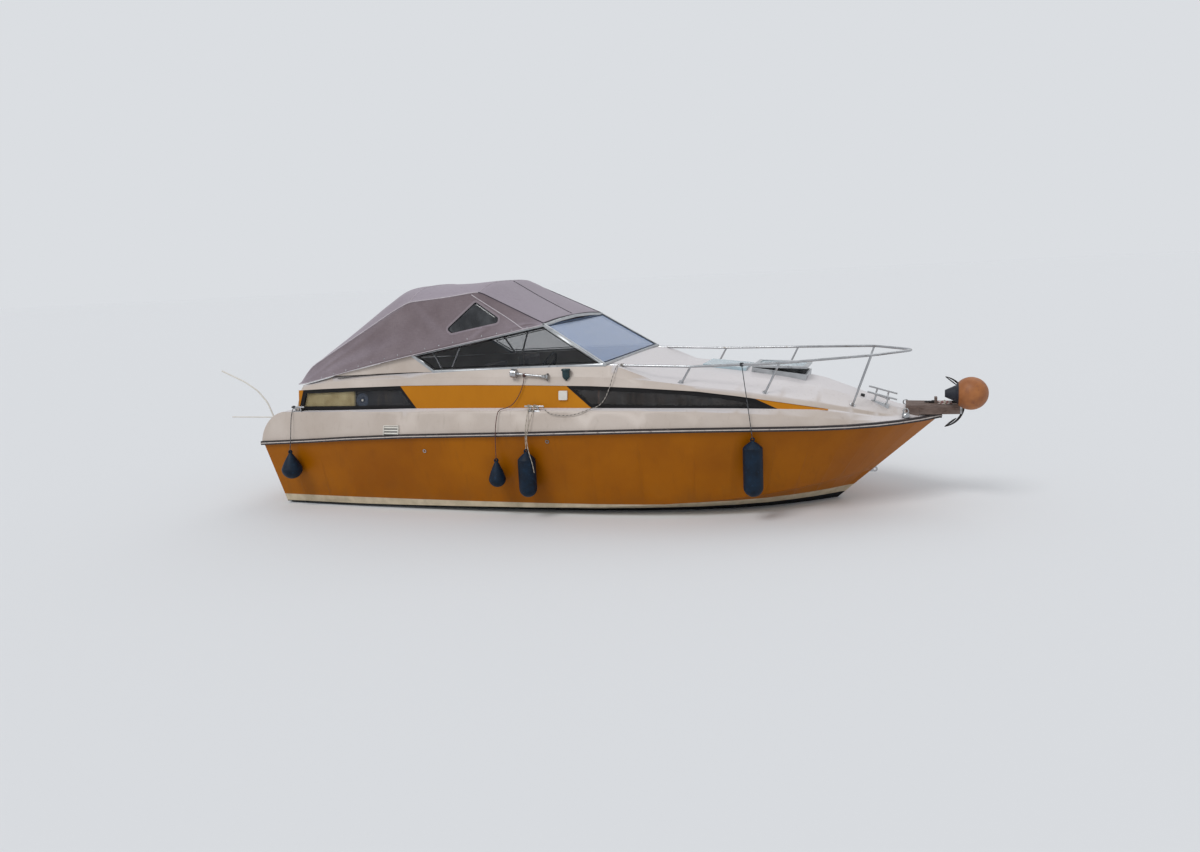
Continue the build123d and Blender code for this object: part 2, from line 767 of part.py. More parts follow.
def make_seat(side):
    """A seat on a pedestal, and its two cushions."""
    long, wide = SEAT_SIZE
    y = side * SEAT_Y
    seat_z = SOLE_Z + SEAT_HEIGHT
    pedestal = Pos(SEAT_X, y, SOLE_Z + SEAT_HEIGHT / 2) * Cylinder(45, SEAT_HEIGHT)
    foot = Pos(SEAT_X, y, SOLE_Z + 6) * Cylinder(130, 12)
    pan = box(SEAT_X - long / 2, SEAT_X + long / 2, y - wide / 2, y + wide / 2, seat_z, seat_z + 20)
    back = box(SEAT_X - long / 2 - 20, SEAT_X - long / 2, y - wide / 2, y + wide / 2, seat_z,
               seat_z + SEAT_BACK)
    base = box(SEAT_X - long / 2 + FIT, SEAT_X + long / 2, y - wide / 2, y + wide / 2,
               seat_z + 20, seat_z + 110)
    rest = box(SEAT_X - long / 2 + FIT, SEAT_X - long / 2 + 90, y - wide / 2, y + wide / 2,
               seat_z + 112, seat_z + SEAT_BACK + 40)
    return pedestal + foot + pan + back, [fillet(base.edges(), 15), fillet(rest.edges(), 15)]


seats = [make_seat(-1), make_seat(1)]

# Windscreen, side screens and quarter panels


def stbd(point):
    return (point[0], -point[1], point[2])


def side_screen_y(x, z):
    """Half-breadth of the flat side screen at a height and place along the boat."""
    foot, top, aft = Vector(*SCREEN_FOOT), Vector(*SCREEN_TOP), Vector(*SCREEN_AFT_FOOT)
    normal = (top - foot).cross(aft - foot)
    return foot.Y - (normal.X * (x - foot.X) + normal.Z * (z - foot.Z)) / normal.Y


SCREEN_AFT_TOP = (
    SCREEN_AFT_TOP_X, side_screen_y(SCREEN_AFT_TOP_X, SCREEN_AFT_TOP_Z), SCREEN_AFT_TOP_Z)


def make_windscreen():
    """Bars round the front pane and the two side panes, with the crowned header."""
    runs = [(stbd(SCREEN_FOOT), SCREEN_FOOT)]
    for side in (lambda p: p, stbd):
        corners = [side(p) for p in (SCREEN_FOOT, SCREEN_TOP, SCREEN_AFT_TOP, SCREEN_AFT_FOOT, SCREEN_FOOT)]
        runs += list(zip(corners[:-1], corners[1:]))
        runs += [(side(SCREEN_TOP), side(SCREEN_TOP_BOW)), (side(SCREEN_TOP_BOW), SCREEN_TOP_MID)]
    frame = beam(*runs[0], SCREEN_BAR, SCREEN_BAR)
    for start, end in runs[1:]:
        frame = frame + beam(start, end, SCREEN_BAR, SCREEN_BAR)
    return frame - deck_solid


screen_frame = make_windscreen()
front_pane = plate([SCREEN_FOOT, SCREEN_TOP, stbd(SCREEN_TOP), stbd(SCREEN_FOOT)], GLASS)
front_pane = front_pane - screen_frame - deck_solid
side_pane = plate([SCREEN_FOOT, SCREEN_TOP, SCREEN_AFT_TOP, SCREEN_AFT_FOOT], GLASS)
side_pane = side_pane - screen_frame - deck_solid
quarter = plate(QUARTER_PANEL, PANEL_WALL) - screen_frame - deck_solid

# Canopy and its hoops


def canopy_section(row, inside=False):
    x, hem_y, hem_z, seam_y, seam_z, shoulder_y, shoulder_z, centre_z = row
    wall = CANOPY_WALL if inside else 0
    low = 60 if inside else 0
    half = [
        (x, hem_y - wall, hem_z - low),
        (x, hem_y - wall, hem_z - wall * 0.2),
        (x, seam_y - wall, seam_z - wall * 0.6),
        (x, shoulder_y, shoulder_z - wall),
        (x, 0, centre_z - wall),
    ]
    if not inside:
        half = half[1:]
    return half + [(px, -y, z) for px, y, z in reversed(half[:-1])]


def make_canopy():
    outer = skin([canopy_section(row) for row in CANOPY])
    rows = list(CANOPY)
    aft, fore = rows[0], rows[-1]
    rows[0] = (aft[0] + CANOPY_WALL,) + aft[1:]
    rows[-1] = (fore[0] + 1,) + fore[1:]
    cloth = outer - skin([canopy_section(row, inside=True) for row in rows])
    return cloth - screen_frame - deck_solid


canopy = make_canopy()
quarter = quarter - canopy
light = make_face(Polyline(*CANOPY_WINDOW, close=True))
light = extrude(Plane.XZ * fillet(light.vertices(), CANOPY_WINDOW_ROUND), amount=1400)
canopy_panes = [canopy & light, canopy & port_of(light)]
canopy = canopy - light - port_of(light)


def make_hoop(row, shift):
    corner_x, corner_y, corner_z, middle_z = row
    foot = (HOOP_FOOT[0] + shift, HOOP_FOOT[1], HOOP_FOOT[2])
    corner = (corner_x, corner_y, corner_z)
    points = [stbd(foot), stbd(corner), (corner_x, 0, middle_z), corner, foot]
    return tube(points, [110, 900, 110], HOOP_RADIUS) - deck_solid


hoops = [make_hoop(HOOPS[0], -HOOP_SPREAD), make_hoop(HOOPS[1], HOOP_SPREAD)]

# Foredeck hatch and panel

hatch_frame = hatch_tube - hatch_place * box(
    HATCH_WALL, HATCH_LENGTH - HATCH_WALL, -half_hatch + HATCH_WALL, half_hatch - HATCH_WALL, -80, 80)
lid_flat = box(0, HATCH_LENGTH, -half_hatch, half_hatch, 0, HATCH_LID)
lid_hole = box(40, HATCH_LENGTH - 40, -half_hatch + 40, half_hatch - 40, -10, HATCH_LID + 10)
lid_pane = box(40, HATCH_LENGTH - 40, -half_hatch + 40, half_hatch - 40, 8, 16)
lid_place = hatch_place * Location((0, 0, HATCH_TOP + FIT), (0, -HATCH_AJAR, 0))
hatch_lid = lid_place * (lid_flat - lid_hole)
hatch_pane = lid_place * lid_pane
panel_place = crown_place(PANEL_AFT_X, PANEL_AFT_X + PANEL_LENGTH)
panel = panel_place * box(0, PANEL_LENGTH, -PANEL_WIDTH / 2, PANEL_WIDTH / 2, -60, 16)
panel = panel - deck_solid

# Bow rail


def make_bow_rail():
    side = RAIL_PATH[:-1]
    points = [stbd(p) for p in side] + [RAIL_PATH[-1]] + list(reversed(side))
    whole = tube(points, RAIL_BENDS, RAIL_RADIUS)
    for foot_x, foot_y, foot_z, head_x, head_y, head_z in STANCHIONS:
        for side in (-1, 1):
            foot = (foot_x, side * foot_y, foot_z)
            head = (head_x, side * head_y, head_z)
            whole = whole + bar(foot, head, RAIL_RADIUS * 0.8)
    return seated(whole)


bow_rail = make_bow_rail() - screen_frame

# Cleats


def make_cleat(x, y, z, length, rise, lean):
    """A bar on two posts, which stand on a base."""
    whole = Pos(0, 0, CLEAT_SEAT / 2 - 52) * Box(length * 0.62, CLEAT_BASE, CLEAT_SEAT)
    whole = whole + Pos(0, 0, rise) * Rot(0, 90, 0) * Cylinder(CLEAT_RADIUS, length)
    for side in (-1, 1):
        whole = whole + Pos(side * length * 0.2, 0, rise / 2) * Cylinder(CLEAT_RADIUS, rise)
    return seated(Location((x, y, z), (0, lean, 0)) * whole)


cleats = {name: [make_cleat(*row) for row in rows] for name, rows in CLEATS.items()}

# Bow platform, roller, anchor and float


def board_section(x, half):
    """Section of the board that closes the platform's starboard side."""
    low = PLATFORM_Z - SIDE_BOARD_DEPTH
    return [(x, -half, low), (x, -half + SIDE_BOARD, low), (x, -half + SIDE_BOARD, PLATFORM_Z + 1),
            (x, -half, PLATFORM_Z + 1)]


def make_platform():
    x0, x1 = PLATFORM_X
    slats = []
    for i in range(SLAT_COUNT):
        edges = []
        for x, half in ((x0, PLATFORM_AFT_Y), (x1, PLATFORM_TIP_Y)):
            pitch = (2 * half + SLAT_GAP) / SLAT_COUNT
            low = -half + i * pitch
            edges.append((x, low, low + pitch - SLAT_GAP))
        (xa, a0, a1), (xb, b0, b1) = edges
        face = Face(polygon([(x, y, PLATFORM_Z) for x, y in ((xa, a0), (xb, b0), (xb, b1), (xa, a1))]))
        slats.append(extrude(face, amount=SLAT, dir=(0, 0, 1)))
    bearers = []
    for x in (x0 + 60, x0 + 230, x1 - 110):
        share = (x - x0) / (x1 - x0)
        half = PLATFORM_AFT_Y + (PLATFORM_TIP_Y - PLATFORM_AFT_Y) * share
        bearers.append(box(x, x + 60, -half, half, 860 if x < x0 + 200 else PLATFORM_Z - 30, PLATFORM_Z))
    whole = bearers[0] + bearers[1] + bearers[2]
    for slat in slats:
        whole = whole + slat
    board = skin([
        board_section(x0, PLATFORM_AFT_Y), board_section(x1, PLATFORM_TIP_Y),
    ])
    post = box(*POST_X, -POST_HALF, POST_HALF, PLATFORM_Z, PLATFORM_Z + SLAT + POST_RISE)
    return seated(whole + board + port_of(board) + post)


platform = make_platform()
cheeks = [
    box(ROLLER_X - 110, ROLLER_X + 36, side * 36 - 3, side * 36 + 3, ROLLER_Z - 34, PLATFORM_Z)
    for side in (-1, 1)
]
cheek_web = box(ROLLER_X - 110, ROLLER_X - 50, -39, 39, ROLLER_Z - 6, ROLLER_Z)
roller_pin = Pos(ROLLER_X, 0, ROLLER_Z) * Rot(90, 0, 0) * Cylinder(6, 84)
cheeks = cheeks[0] + cheeks[1] + cheek_web + roller_pin - platform
roller = Pos(ROLLER_X, 0, ROLLER_Z) * Rot(90, 0, 0) * (Cylinder(ROLLER_RADIUS, 56) - Cylinder(6.05, 60))
platform_top = PLATFORM_Z + SLAT
shank_z = platform_top + SHANK_RADIUS + FIT


def make_ball():
    """A round float that rests on the platform's corner, with a coned neck and an eye."""
    reach_x, reach_y = FLOAT_X - PLATFORM_X[1], -FLOAT_Y - PLATFORM_TIP_Y
    mid_z = platform_top + sqrt((FLOAT_RADIUS + FIT) ** 2 - reach_x**2 - reach_y**2)
    mouth, end, length = FLOAT_NECK
    foot_x = FLOAT_X - sqrt(FLOAT_RADIUS**2 - mouth**2)
    neck = Location((foot_x, FLOAT_Y, mid_z), (0, -90, 0)) * Cone(
        mouth, end, length, align=(Align.CENTER, Align.CENTER, Align.MIN))
    eye = Pos(FLOAT_EYE_X + 20, FLOAT_Y, mid_z) * Rot(90, 0, 0) * (Cylinder(24, 22) - Cylinder(10, 40))
    return Pos(FLOAT_X, FLOAT_Y, mid_z) * Sphere(FLOAT_RADIUS) + neck + eye


def make_arm():
    """One crescent arm and its leaf, above the shank."""
    outside = [(x, shank_z + out) for x, out in ARM_OUTSIDE]
    inside = [(x, shank_z + out) for x, out in reversed(ARM_INSIDE)]
    with BuildSketch(Plane.XZ) as crescent:
        with BuildLine():
            ThreePointArc(*outside)
            Line(outside[-1], inside[0])
            ThreePointArc(*inside)
            Line(inside[-1], outside[0])
        make_face()
    arm = extrude(crescent.sketch, amount=ARM_WALL / 2, both=True)
    tip_x, tip_out = ARM_INSIDE[-1]
    mid_x, mid_out = ARM_INSIDE[1]
    leaf_lean = degrees(atan2(tip_out - mid_out, mid_x - tip_x))
    with BuildSketch() as leaf:
        with BuildLine():
            for side in (-1, 1):
                Line((0, 0), (0.28 * PALM_LENGTH, side * 0.72 * PALM_HALF))
                ThreePointArc(
                    (0.28 * PALM_LENGTH, side * 0.72 * PALM_HALF), (0.6 * PALM_LENGTH, side * PALM_HALF),
                    (PALM_LENGTH, 0),
                )
        make_face()
    place = Location((tip_x - 2, 0, shank_z + tip_out + 3), (0, leaf_lean, 0))
    return arm + place * extrude(leaf.sketch, amount=PALM_WALL / 2, both=True)


def make_anchor():
    shank = bar((SHANK_AFT_X, 0, shank_z), (CROWN_X - 4, 0, shank_z), SHANK_RADIUS)
    crown = Pos(CROWN_X - 12, 0, shank_z) * Rot(0, 90, 0) * Cylinder(17, 26)
    collar = Pos(SHANK_AFT_X + 40, 12, shank_z) * Box(26, 46, 22)
    stock = bar((SHANK_AFT_X + 30, 26, shank_z), (SHANK_AFT_X + 230, 26, shank_z), 7)
    ring = Pos(SHANK_AFT_X - 16, 0, shank_z) * Torus(20, 5)
    arm = make_arm()
    lower = mirror(arm, about=Plane(origin=(0, 0, shank_z), z_dir=(0, 0, 1)))
    whole = shank + crown + collar + stock + ring + arm + lower
    return whole - platform


ball = make_ball()
anchor = make_anchor()
coil = Pos(*COIL_MID, platform_top + COIL_THICK + FIT) * scale(
    Torus(COIL_HALF[1], COIL_THICK), by=(COIL_HALF[0] / COIL_HALF[1], 1, 1))

# Chocks, cap and fittings of the hull


def make_chock(side):
    x, y, z = CHOCK
    ring = Pos(x, side * y, z) * Rot(90, 0, 0) * Torus(CHOCK_RADIUS, CHOCK_TUBE)
    foot = Pos(x, side * (y - 24), z - CHOCK_RADIUS - 26) * Box(70, 74, 48)
    return seated(ring + foot) - rub_rail - rub_insert


chocks = [make_chock(side) for side in (-1, 1)]
cap_x, cap_y, cap_z = DECK_CAP
deck_cap = seated(Pos(cap_x, cap_y, cap_z) * Rot(0, 15, 0) * Cylinder(DECK_CAP_RADIUS, 80))


def on_side(x, z, plan, depth):
    """A fitting with this plan in x and z that stands out from the starboard side by depth."""
    y = -rail_y(x)
    block = extrude(Plane((x, y - 60, z), x_dir=(1, 0, 0), z_dir=(0, -1, 0)) * plan, amount=-220)
    near = block & (deck_solid if z > rail_z(x) else hull_solid)
    return seated(Pos(0, -depth, 0) * near & Pos(0, -depth / 2, 0) * block)


drains = [
    on_side(x, z, Circle(DRAIN_RADIUS) - Circle(DRAIN_RADIUS * 0.6), 5) for x, z in DRAINS
]
vent = on_side(*VENT, Ellipse(VENT_SIZE[0] / 2, VENT_SIZE[1] / 2), 12)
socket_x, socket_z = SOCKET_COVER
socket = Plane((socket_x, -rail_y(socket_x), socket_z), x_dir=(1, 0, 0), z_dir=(0, -1, 0)) * RectangleRounded(
    SOCKET_SIZE, SOCKET_SIZE, 8)
socket = extrude(socket, amount=-220) & Pos(0, -SOCKET_OUT, 0) * deck_solid
socket = socket - Pos(0, SOCKET_IN, 0) * deck_solid - stripe - deck_shell
eye_x = along(HULL, STATIONS[-1], 1) + (BOW_EYE_Z - along(HULL, STATIONS[-1], 2)) * (
    STATIONS[-1] - along(HULL, STATIONS[-1], 1)) / (rail_z(STATIONS[-1]) - along(HULL, STATIONS[-1], 2))
eye_place = Location((eye_x + BOW_EYE_OUT, 0, BOW_EYE_Z), (90, 0, 0))
bow_eye = eye_place * Cylinder(BOW_EYE_RADIUS, BOW_EYE_WALL)
bow_eye = bow_eye + box(
    eye_x - 60, eye_x + 8, -BOW_EYE_WALL / 2, BOW_EYE_WALL / 2, BOW_EYE_Z - 26, BOW_EYE_Z + 26)
bow_eye = seated(bow_eye - eye_place * Cylinder(BOW_EYE_HOLE, 40))

# Horn, lamps and pole


def turned(outline, mid, angles):
    """A solid of revolution about its own x axis, from an outline of places and radii."""
    face = make_face(Polyline(*outline, close=True))
    return Location(mid, angles) * revolve(face, axis=Axis.X)


def make_horn():
    horn = turned(HORN_OUTLINE, HORN_DRUM, (0, HORN_LEAN, 0))
    x, y, z = HORN_DRUM
    for step in HORN_FEET:
        foot_z = z - step * tan(radians(HORN_LEAN))
        horn = horn + box(x + step - 12, x + step + 12, y, y + 90, foot_z - 9, foot_z + 9)
    return seated(horn)


horn = make_horn()


def make_lamp(side):
    x, y, z = LAMP
    lamp = turned(LAMP_OUTLINE, (x, side * y, z), (0, -90, 0))
    return seated(lamp + box(x - 22, x + 22, min(side * y, side * (y - 70)), max(side * y, side * (y - 70)),
                             z - 20, z + 24))


lamps = [make_lamp(side) for side in (-1, 1)]
pole = tube([(x, POLE_Y, z) for x, z in POLE_PATH], [220, 260, 300, 600], POLE_RADIUS)
rod = bar(*[(x, POLE_Y, z) for x, z in ROD_PATH], ROD_RADIUS)
stern_pole = seated(pole + rod)

# Boards and curtains behind the side windows


def behind_window(outline, grow, near, far):
    return (side_band(near, far) & side_prism(outline, -grow)) - deck_shell - bulkhead


board = behind_window(AFT_WINDOW, BOARD_MARGIN, BOARD_NEAR, BOARD_NEAR + BOARD_WALL)
curtain = behind_window(FORE_WINDOW, BOARD_MARGIN, BOARD_NEAR, BOARD_NEAR + BOARD_WALL)

# Sterndrive

slope = (HULL[0][0] - HULL[0][1]) / (rail_z(HULL[0][0]) - HULL[0][2])


def transom_at(z):
    return HULL[0][1] + slope * (z - HULL[0][2])


def make_shield():
    tilt = degrees(atan2(slope, 1))
    plane = Location((transom_at(SHIELD_Z), 0, SHIELD_Z), (0, tilt, 0))
    body = plane * (Pos(-SHIELD_WALL / 2 + 20, 0, 0) * Box(SHIELD_WALL + 40, *SHIELD_SIZE))
    for z in (TILT_Z + 150, TILT_Z - 210):
        lug = box(STEER_X - 34, transom_at(z) + 20, -36, 36, z - 14, z + 14)
        body = body + lug - Pos(STEER_X, 0, z) * Cylinder(18.05, 60)
    return body - hull_solid


def make_yoke():
    post = Pos(STEER_X, 0, TILT_Z - 30) * Cylinder(30, 360 - 28 - 2 * FIT)
    pin = Pos(STEER_X, 0, TILT_Z - 30) * Cylinder(18, 388)
    arms = box(TILT_X - 40, STEER_X + 20, -YOKE_HALF - 14, YOKE_HALF + 14, TILT_Z - 50, TILT_Z + 40)
    gap = box(TILT_X - 60, STEER_X - 34, -YOKE_HALF, YOKE_HALF, TILT_Z - 60, TILT_Z + 60)
    whole = post + pin + (arms - gap)
    return whole - Pos(TILT_X, 0, TILT_Z) * Rot(90, 0, 0) * Cylinder(14.05, 400)


def xz_prism(points, half):
    face = Face(polygon([(x, -half, z) for x, z in points]))
    return extrude(face, amount=2 * half, dir=(0, 1, 0))


def make_leg():
    head = xz_prism([
        (TILT_X + 40, TILT_Z + 30), (TILT_X + 20, TILT_Z + 52), (TILT_X - 190, TILT_Z + 40),
        (TILT_X - 250, TILT_Z - 40), (TILT_X - 230, -330), (TILT_X - 60, -330), (TILT_X + 10, -120),
        (TILT_X + 48, -60),
    ], LEG_HALF)
    trunnion = Pos(TILT_X, 0, TILT_Z) * Rot(90, 0, 0) * Cylinder(14, 2 * YOKE_HALF + 28)
    boss = Pos(TILT_X, 0, TILT_Z) * Rot(90, 0, 0) * Cylinder(34, 2 * (YOKE_HALF - FIT))
    plate_part = box(TILT_X - 420, TILT_X - 40, -110, 110, -336, -324)
    strut = xz_prism([
        (TILT_X - 70, -330), (TILT_X - 240, -330), (TILT_X - 260, SHAFT_Z), (TILT_X - 90, SHAFT_Z),
    ], 26)
    bullet = Pos(TILT_X - 180, 0, SHAFT_Z) * Rot(0, 90, 0) * Cylinder(52, 340)
    nose = Pos(TILT_X - 10, 0, SHAFT_Z) * Rot(0, 90, 0) * Cone(
        52, 12, 80, align=(Align.CENTER, Align.CENTER, Align.MIN))
    skeg = xz_prism([
        (TILT_X - 60, SHAFT_Z - 30), (TILT_X - 330, SHAFT_Z - 30), (TILT_X - 330, SHAFT_Z - 200),
        (TILT_X - 250, SHAFT_Z - 215),
    ], 9)
    shaft = Pos(PROP_X + 40, 0, SHAFT_Z) * Rot(0, 90, 0) * Cylinder(12, 160)
    whole = head + trunnion + boss + plate_part + strut + bullet + nose + skeg
    return whole + shaft


def blade_section(r, chord, thick):
    """A lens across the blade at radius r, turned to the propeller's pitch."""
    pitch = atan2(PROP_PITCH, 2 * pi * r)
    flat = [(-0.5, 0.1), (-0.15, 1), (0.25, 0.8), (0.5, 0.1), (0.25, -0.25), (-0.15, -0.3)]
    points = []
    for along_chord, across in flat:
        u, v = along_chord * chord, across * thick
        points.append((u * sin(pitch) + v * cos(pitch), u * cos(pitch) - v * sin(pitch), r))
    return points


def make_propeller():
    blade = skin([
        blade_section(40, 95, 12), blade_section(90, 150, 9), blade_section(140, 165, 6),
        blade_section(175, 120, 4), blade_section(PROP_RADIUS, 50, 2.5),
    ])
    hub = Rot(0, 90, 0) * Cylinder(48, 120)
    whole = hub
    for i in range(BLADES):
        whole = whole + Rot(360 / BLADES * i, 0, 0) * blade
    whole = whole - Rot(0, 90, 0) * Cylinder(12.05, 200)
    return Pos(PROP_X, 0, SHAFT_Z) * whole


shield = make_shield()
yoke = make_yoke()
leg = make_leg()
propeller = make_propeller()

# Fenders and lines


def fender_body(radius, length, head):
    """A round bag below its eye, which is at the origin."""
    neck_z = -FENDER_EYE - 16
    low = -length + radius
    bulge = ((FENDER_NECK + radius) * 0.56, (neck_z - head) / 2)
    with BuildSketch(Plane.XZ) as half:
        with BuildLine():
            Line((0, -FENDER_EYE), (FENDER_NECK, -FENDER_EYE))
            Line((FENDER_NECK, -FENDER_EYE), (FENDER_NECK, neck_z))
            ThreePointArc((FENDER_NECK, neck_z), bulge, (radius, -head))
            if low < -head - 1:
                Line((radius, -head), (radius, low))
            ThreePointArc(
                (radius, min(low, -head)), (radius * cos(pi / 4), min(low, -head) - radius * sin(pi / 4)),
                (0, min(low, -head) - radius),
            )
            Line((0, min(low, -head) - radius), (0, -FENDER_EYE))
        make_face()
    eye = Pos(0, 0, -FENDER_EYE) * Rot(90, 0, 0) * Cylinder(FENDER_EYE, FENDER_EYE_WALL)
    hole = Pos(0, 0, -FENDER_EYE + 3) * Rot(90, 0, 0) * Cylinder(FENDER_EYE_HOLE, 80)
    return revolve(half.sketch, axis=Axis.Z) + eye - hole


def hang(x, top, radius, length, head):
    """A fender that hangs plumb from the rub rail, or rests on the topsides."""
    body = fender_body(radius, length, head)
    plumb = rail_y(x) + FENDER_OUT
    out = plumb + radius
    for _ in range(4):
        out -= (Pos(x, -out, top) * body).distance(hull_solid) - FIT
    return Pos(x, -max(plumb, out), top) * body


def line_tube(name):
    """A line along its route, with each corner as round as its two runs allow."""
    points = [Vector(*p) for p in LINES[name]]
    radii = []
    for i in range(1, len(points) - 1):
        before, after = points[i] - points[i - 1], points[i + 1] - points[i]
        wide = 0.45 * min(before.length, after.length) / tan(radians(before.get_angle(after)) / 2)
        radii.append(TIGHT_CORNERS.get((name, i), wide))
    print(name, "radii", [round(r) for r in radii])
    path = FilletPolyline(*points, radius=radii)
    profile = Plane(origin=path @ 0, z_dir=path % 0) * Circle(LINE_RADIUS)
    line = sweep(profile, path=path)
    print(name, "length", round(path.length))
    return line


fenders = {name: hang(*row) for name, row in FENDERS.items()}
# What each line is made fast to, and so stops at
stbd_cleats = cleats["side_cleats"]
lines = {name: line_tube(name) for name in LINES}
lines["stern_lanyard"] = lines["stern_lanyard"] - stbd_cleats[0] - fenders["stern_fender"]
lines["mid_lanyard_aft"] = lines["mid_lanyard_aft"] - horn - fenders["mid_fender_aft"]
lines["mid_lanyard_fore"] = lines["mid_lanyard_fore"] - stbd_cleats[1] - fenders["mid_fender_fore"]
lines["mid_lanyard_end"] = lines["mid_lanyard_end"] - stbd_cleats[1]
lines["bow_lanyard"] = lines["bow_lanyard"] - bow_rail - fenders["bow_fender"]
lines["slack_line"] = lines["slack_line"] - bow_rail - stbd_cleats[1]

for name, shape in list(fenders.items()) + list(lines.items()):
    save(name, shape)

save("hull_shell", hull_shell)
save("deck_moulding", deck_shell)
save("rub_rail", rub_rail)
save("rub_rail_insert", rub_insert)
save("side_stripes", *pair(stripe))
save("side_window_frames", *pair(aft_frame), *pair(fore_frame))
save("side_window_glass", *pair(aft_pane), *pair(fore_pane))
save("cockpit_liner", liner)
save("cabin_bulkhead", bulkhead)
save("cabin_door", door)
save("berth_base", berth, berth_front)
save("berth_cushion", berth_cushion)
save("helm_console", console)
save("steering_column", column)
save("steering_wheel", steering_wheel)
save("bench_box", bench)
save("engine_hatch", bench_lid)
save("bench_cushion", bench_cushion)
save("engine_block", engine)
save("engine_beds", *beds)
save("seats", *[s[0] for s in seats])
save("seat_cushions", *seats[0][1], *seats[1][1])
save("windscreen_frame", screen_frame)
save("windscreen_glass", front_pane, *pair(side_pane))
save("quarter_panels", *pair(quarter))
save("canopy", canopy)
save("canopy_hoops", *hoops)
save("hatch_frame", hatch_frame)
save("hatch_lid", hatch_lid)
save("hatch_pane", hatch_pane)
save("deck_panel", panel)
save("bow_rail", bow_rail)
for name, shapes in cleats.items():
    for shape in list(shapes):
        shapes.append(port_of(shape))
    save(name, *shapes)
save("bow_platform", platform)
save("roller_cheeks", cheeks)
save("bow_roller", roller)
save("anchor", anchor)
save("ball_float", ball)
save("float_coil", coil)
save("hull_fittings", *chocks, deck_cap, bow_eye, *drains, vent, socket)
save("horn", horn)
save("side_lamps", *lamps)
save("stern_pole", stern_pole)
save("window_linings", *pair(board), *pair(curtain))
save("canopy_windows", *canopy_panes)
save("transom_shield", shield)
save("drive_yoke", yoke)
save("drive_leg", leg)
save("propeller", propeller)
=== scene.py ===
import json
import math

import bmesh
import bpy
from mathutils import Matrix, Vector, geometry, noise
from mathutils.bvhtree import BVHTree


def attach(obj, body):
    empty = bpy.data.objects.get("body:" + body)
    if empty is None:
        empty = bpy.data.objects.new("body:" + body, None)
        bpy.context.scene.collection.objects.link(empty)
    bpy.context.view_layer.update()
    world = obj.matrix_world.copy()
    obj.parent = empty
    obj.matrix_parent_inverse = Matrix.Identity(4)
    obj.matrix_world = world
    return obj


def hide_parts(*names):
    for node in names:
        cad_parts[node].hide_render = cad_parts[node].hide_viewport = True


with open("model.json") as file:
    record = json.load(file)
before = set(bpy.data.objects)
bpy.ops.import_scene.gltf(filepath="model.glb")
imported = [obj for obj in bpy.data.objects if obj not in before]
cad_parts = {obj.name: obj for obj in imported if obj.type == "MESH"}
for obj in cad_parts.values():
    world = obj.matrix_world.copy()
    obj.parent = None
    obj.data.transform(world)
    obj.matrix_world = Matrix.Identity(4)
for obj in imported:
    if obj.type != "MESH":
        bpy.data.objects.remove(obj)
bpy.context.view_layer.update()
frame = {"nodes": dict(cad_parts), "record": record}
record = frame["record"]
BODY_OF = {node: body for body, nodes in record["behaviour"]["bodies"].items() for node in nodes}
SLOT_OF = {row["node"]: row["material_slot"] for row in record["subparts"]}

# Camera fitted to the photograph: place in metres, turn, dip and roll, sensor width and lens in mm
CAMERA_PLACE = (3.167, -9.293, 2.402)
CAMERA_TURN = math.radians(18.721)
CAMERA_DIP = math.radians(9.778)
CAMERA_ROLL = math.radians(2.788)
CAMERA_SENSOR = 36
CAMERA_LENS = 27.275
CAMERA_REACH = 200


def make_camera():
    """The photograph's own camera."""
    ahead = Vector((
        -math.sin(CAMERA_TURN) * math.cos(CAMERA_DIP), math.cos(CAMERA_TURN) * math.cos(CAMERA_DIP),
        -math.sin(CAMERA_DIP),
    ))
    level = Vector((math.cos(CAMERA_TURN), math.sin(CAMERA_TURN), 0))
    above = level.cross(ahead)
    right = level * math.cos(CAMERA_ROLL) - above * math.sin(CAMERA_ROLL)
    up = level * math.sin(CAMERA_ROLL) + above * math.cos(CAMERA_ROLL)
    data = bpy.data.cameras.new("Camera")
    data.sensor_width = CAMERA_SENSOR
    data.lens = CAMERA_LENS
    data.clip_end = CAMERA_REACH
    camera = bpy.data.objects.new("Camera", data)
    turn = Matrix((right, up, -ahead)).transposed().to_4x4()
    camera.matrix_world = Matrix.Translation(CAMERA_PLACE) @ turn
    bpy.context.scene.collection.objects.link(camera)
    bpy.context.scene.camera = camera


make_camera()


def linear(code):
    """An sRGB hex colour as linear red, green, blue and alpha."""
    parts = [int(code[i:i + 2], 16) / 255 for i in (1, 3, 5)]
    return [p / 12.92 if p <= 0.04045 else ((p + 0.055) / 1.055) ** 2.4 for p in parts] + [1.0]


def add(tree, kind, links=None, **settings):
    """A node with its settings; links gives each input a value, a hex colour or another node's output."""
    node = tree.nodes.new(kind)
    for name, value in settings.items():
        setattr(node, name, value)
    for socket, source in (links or {}).items():
        if isinstance(source, bpy.types.NodeSocket):
            tree.links.new(source, node.inputs[socket])
        elif isinstance(source, str) and source.startswith("#"):
            node.inputs[socket].default_value = linear(source)
        else:
            node.inputs[socket].default_value = source
    return node


def begin(name, **sockets):
    """A material with its shader's plain sockets set; returns it, its tree, shader and object coordinates."""
    material = bpy.data.materials.new(name)
    material.use_nodes = True
    tree = material.node_tree
    shader = tree.nodes["Principled BSDF"]
    for socket, value in sockets.items():
        shader.inputs[socket.replace("_", " ")].default_value = value
    place = add(tree, "ShaderNodeTexCoord").outputs["Object"]
    return material, tree, shader, place


# Most of a noise lies between these two
NOISE_LOW = 0.3
NOISE_HIGH = 0.7
NOISE_ROUGHNESS = 0.55


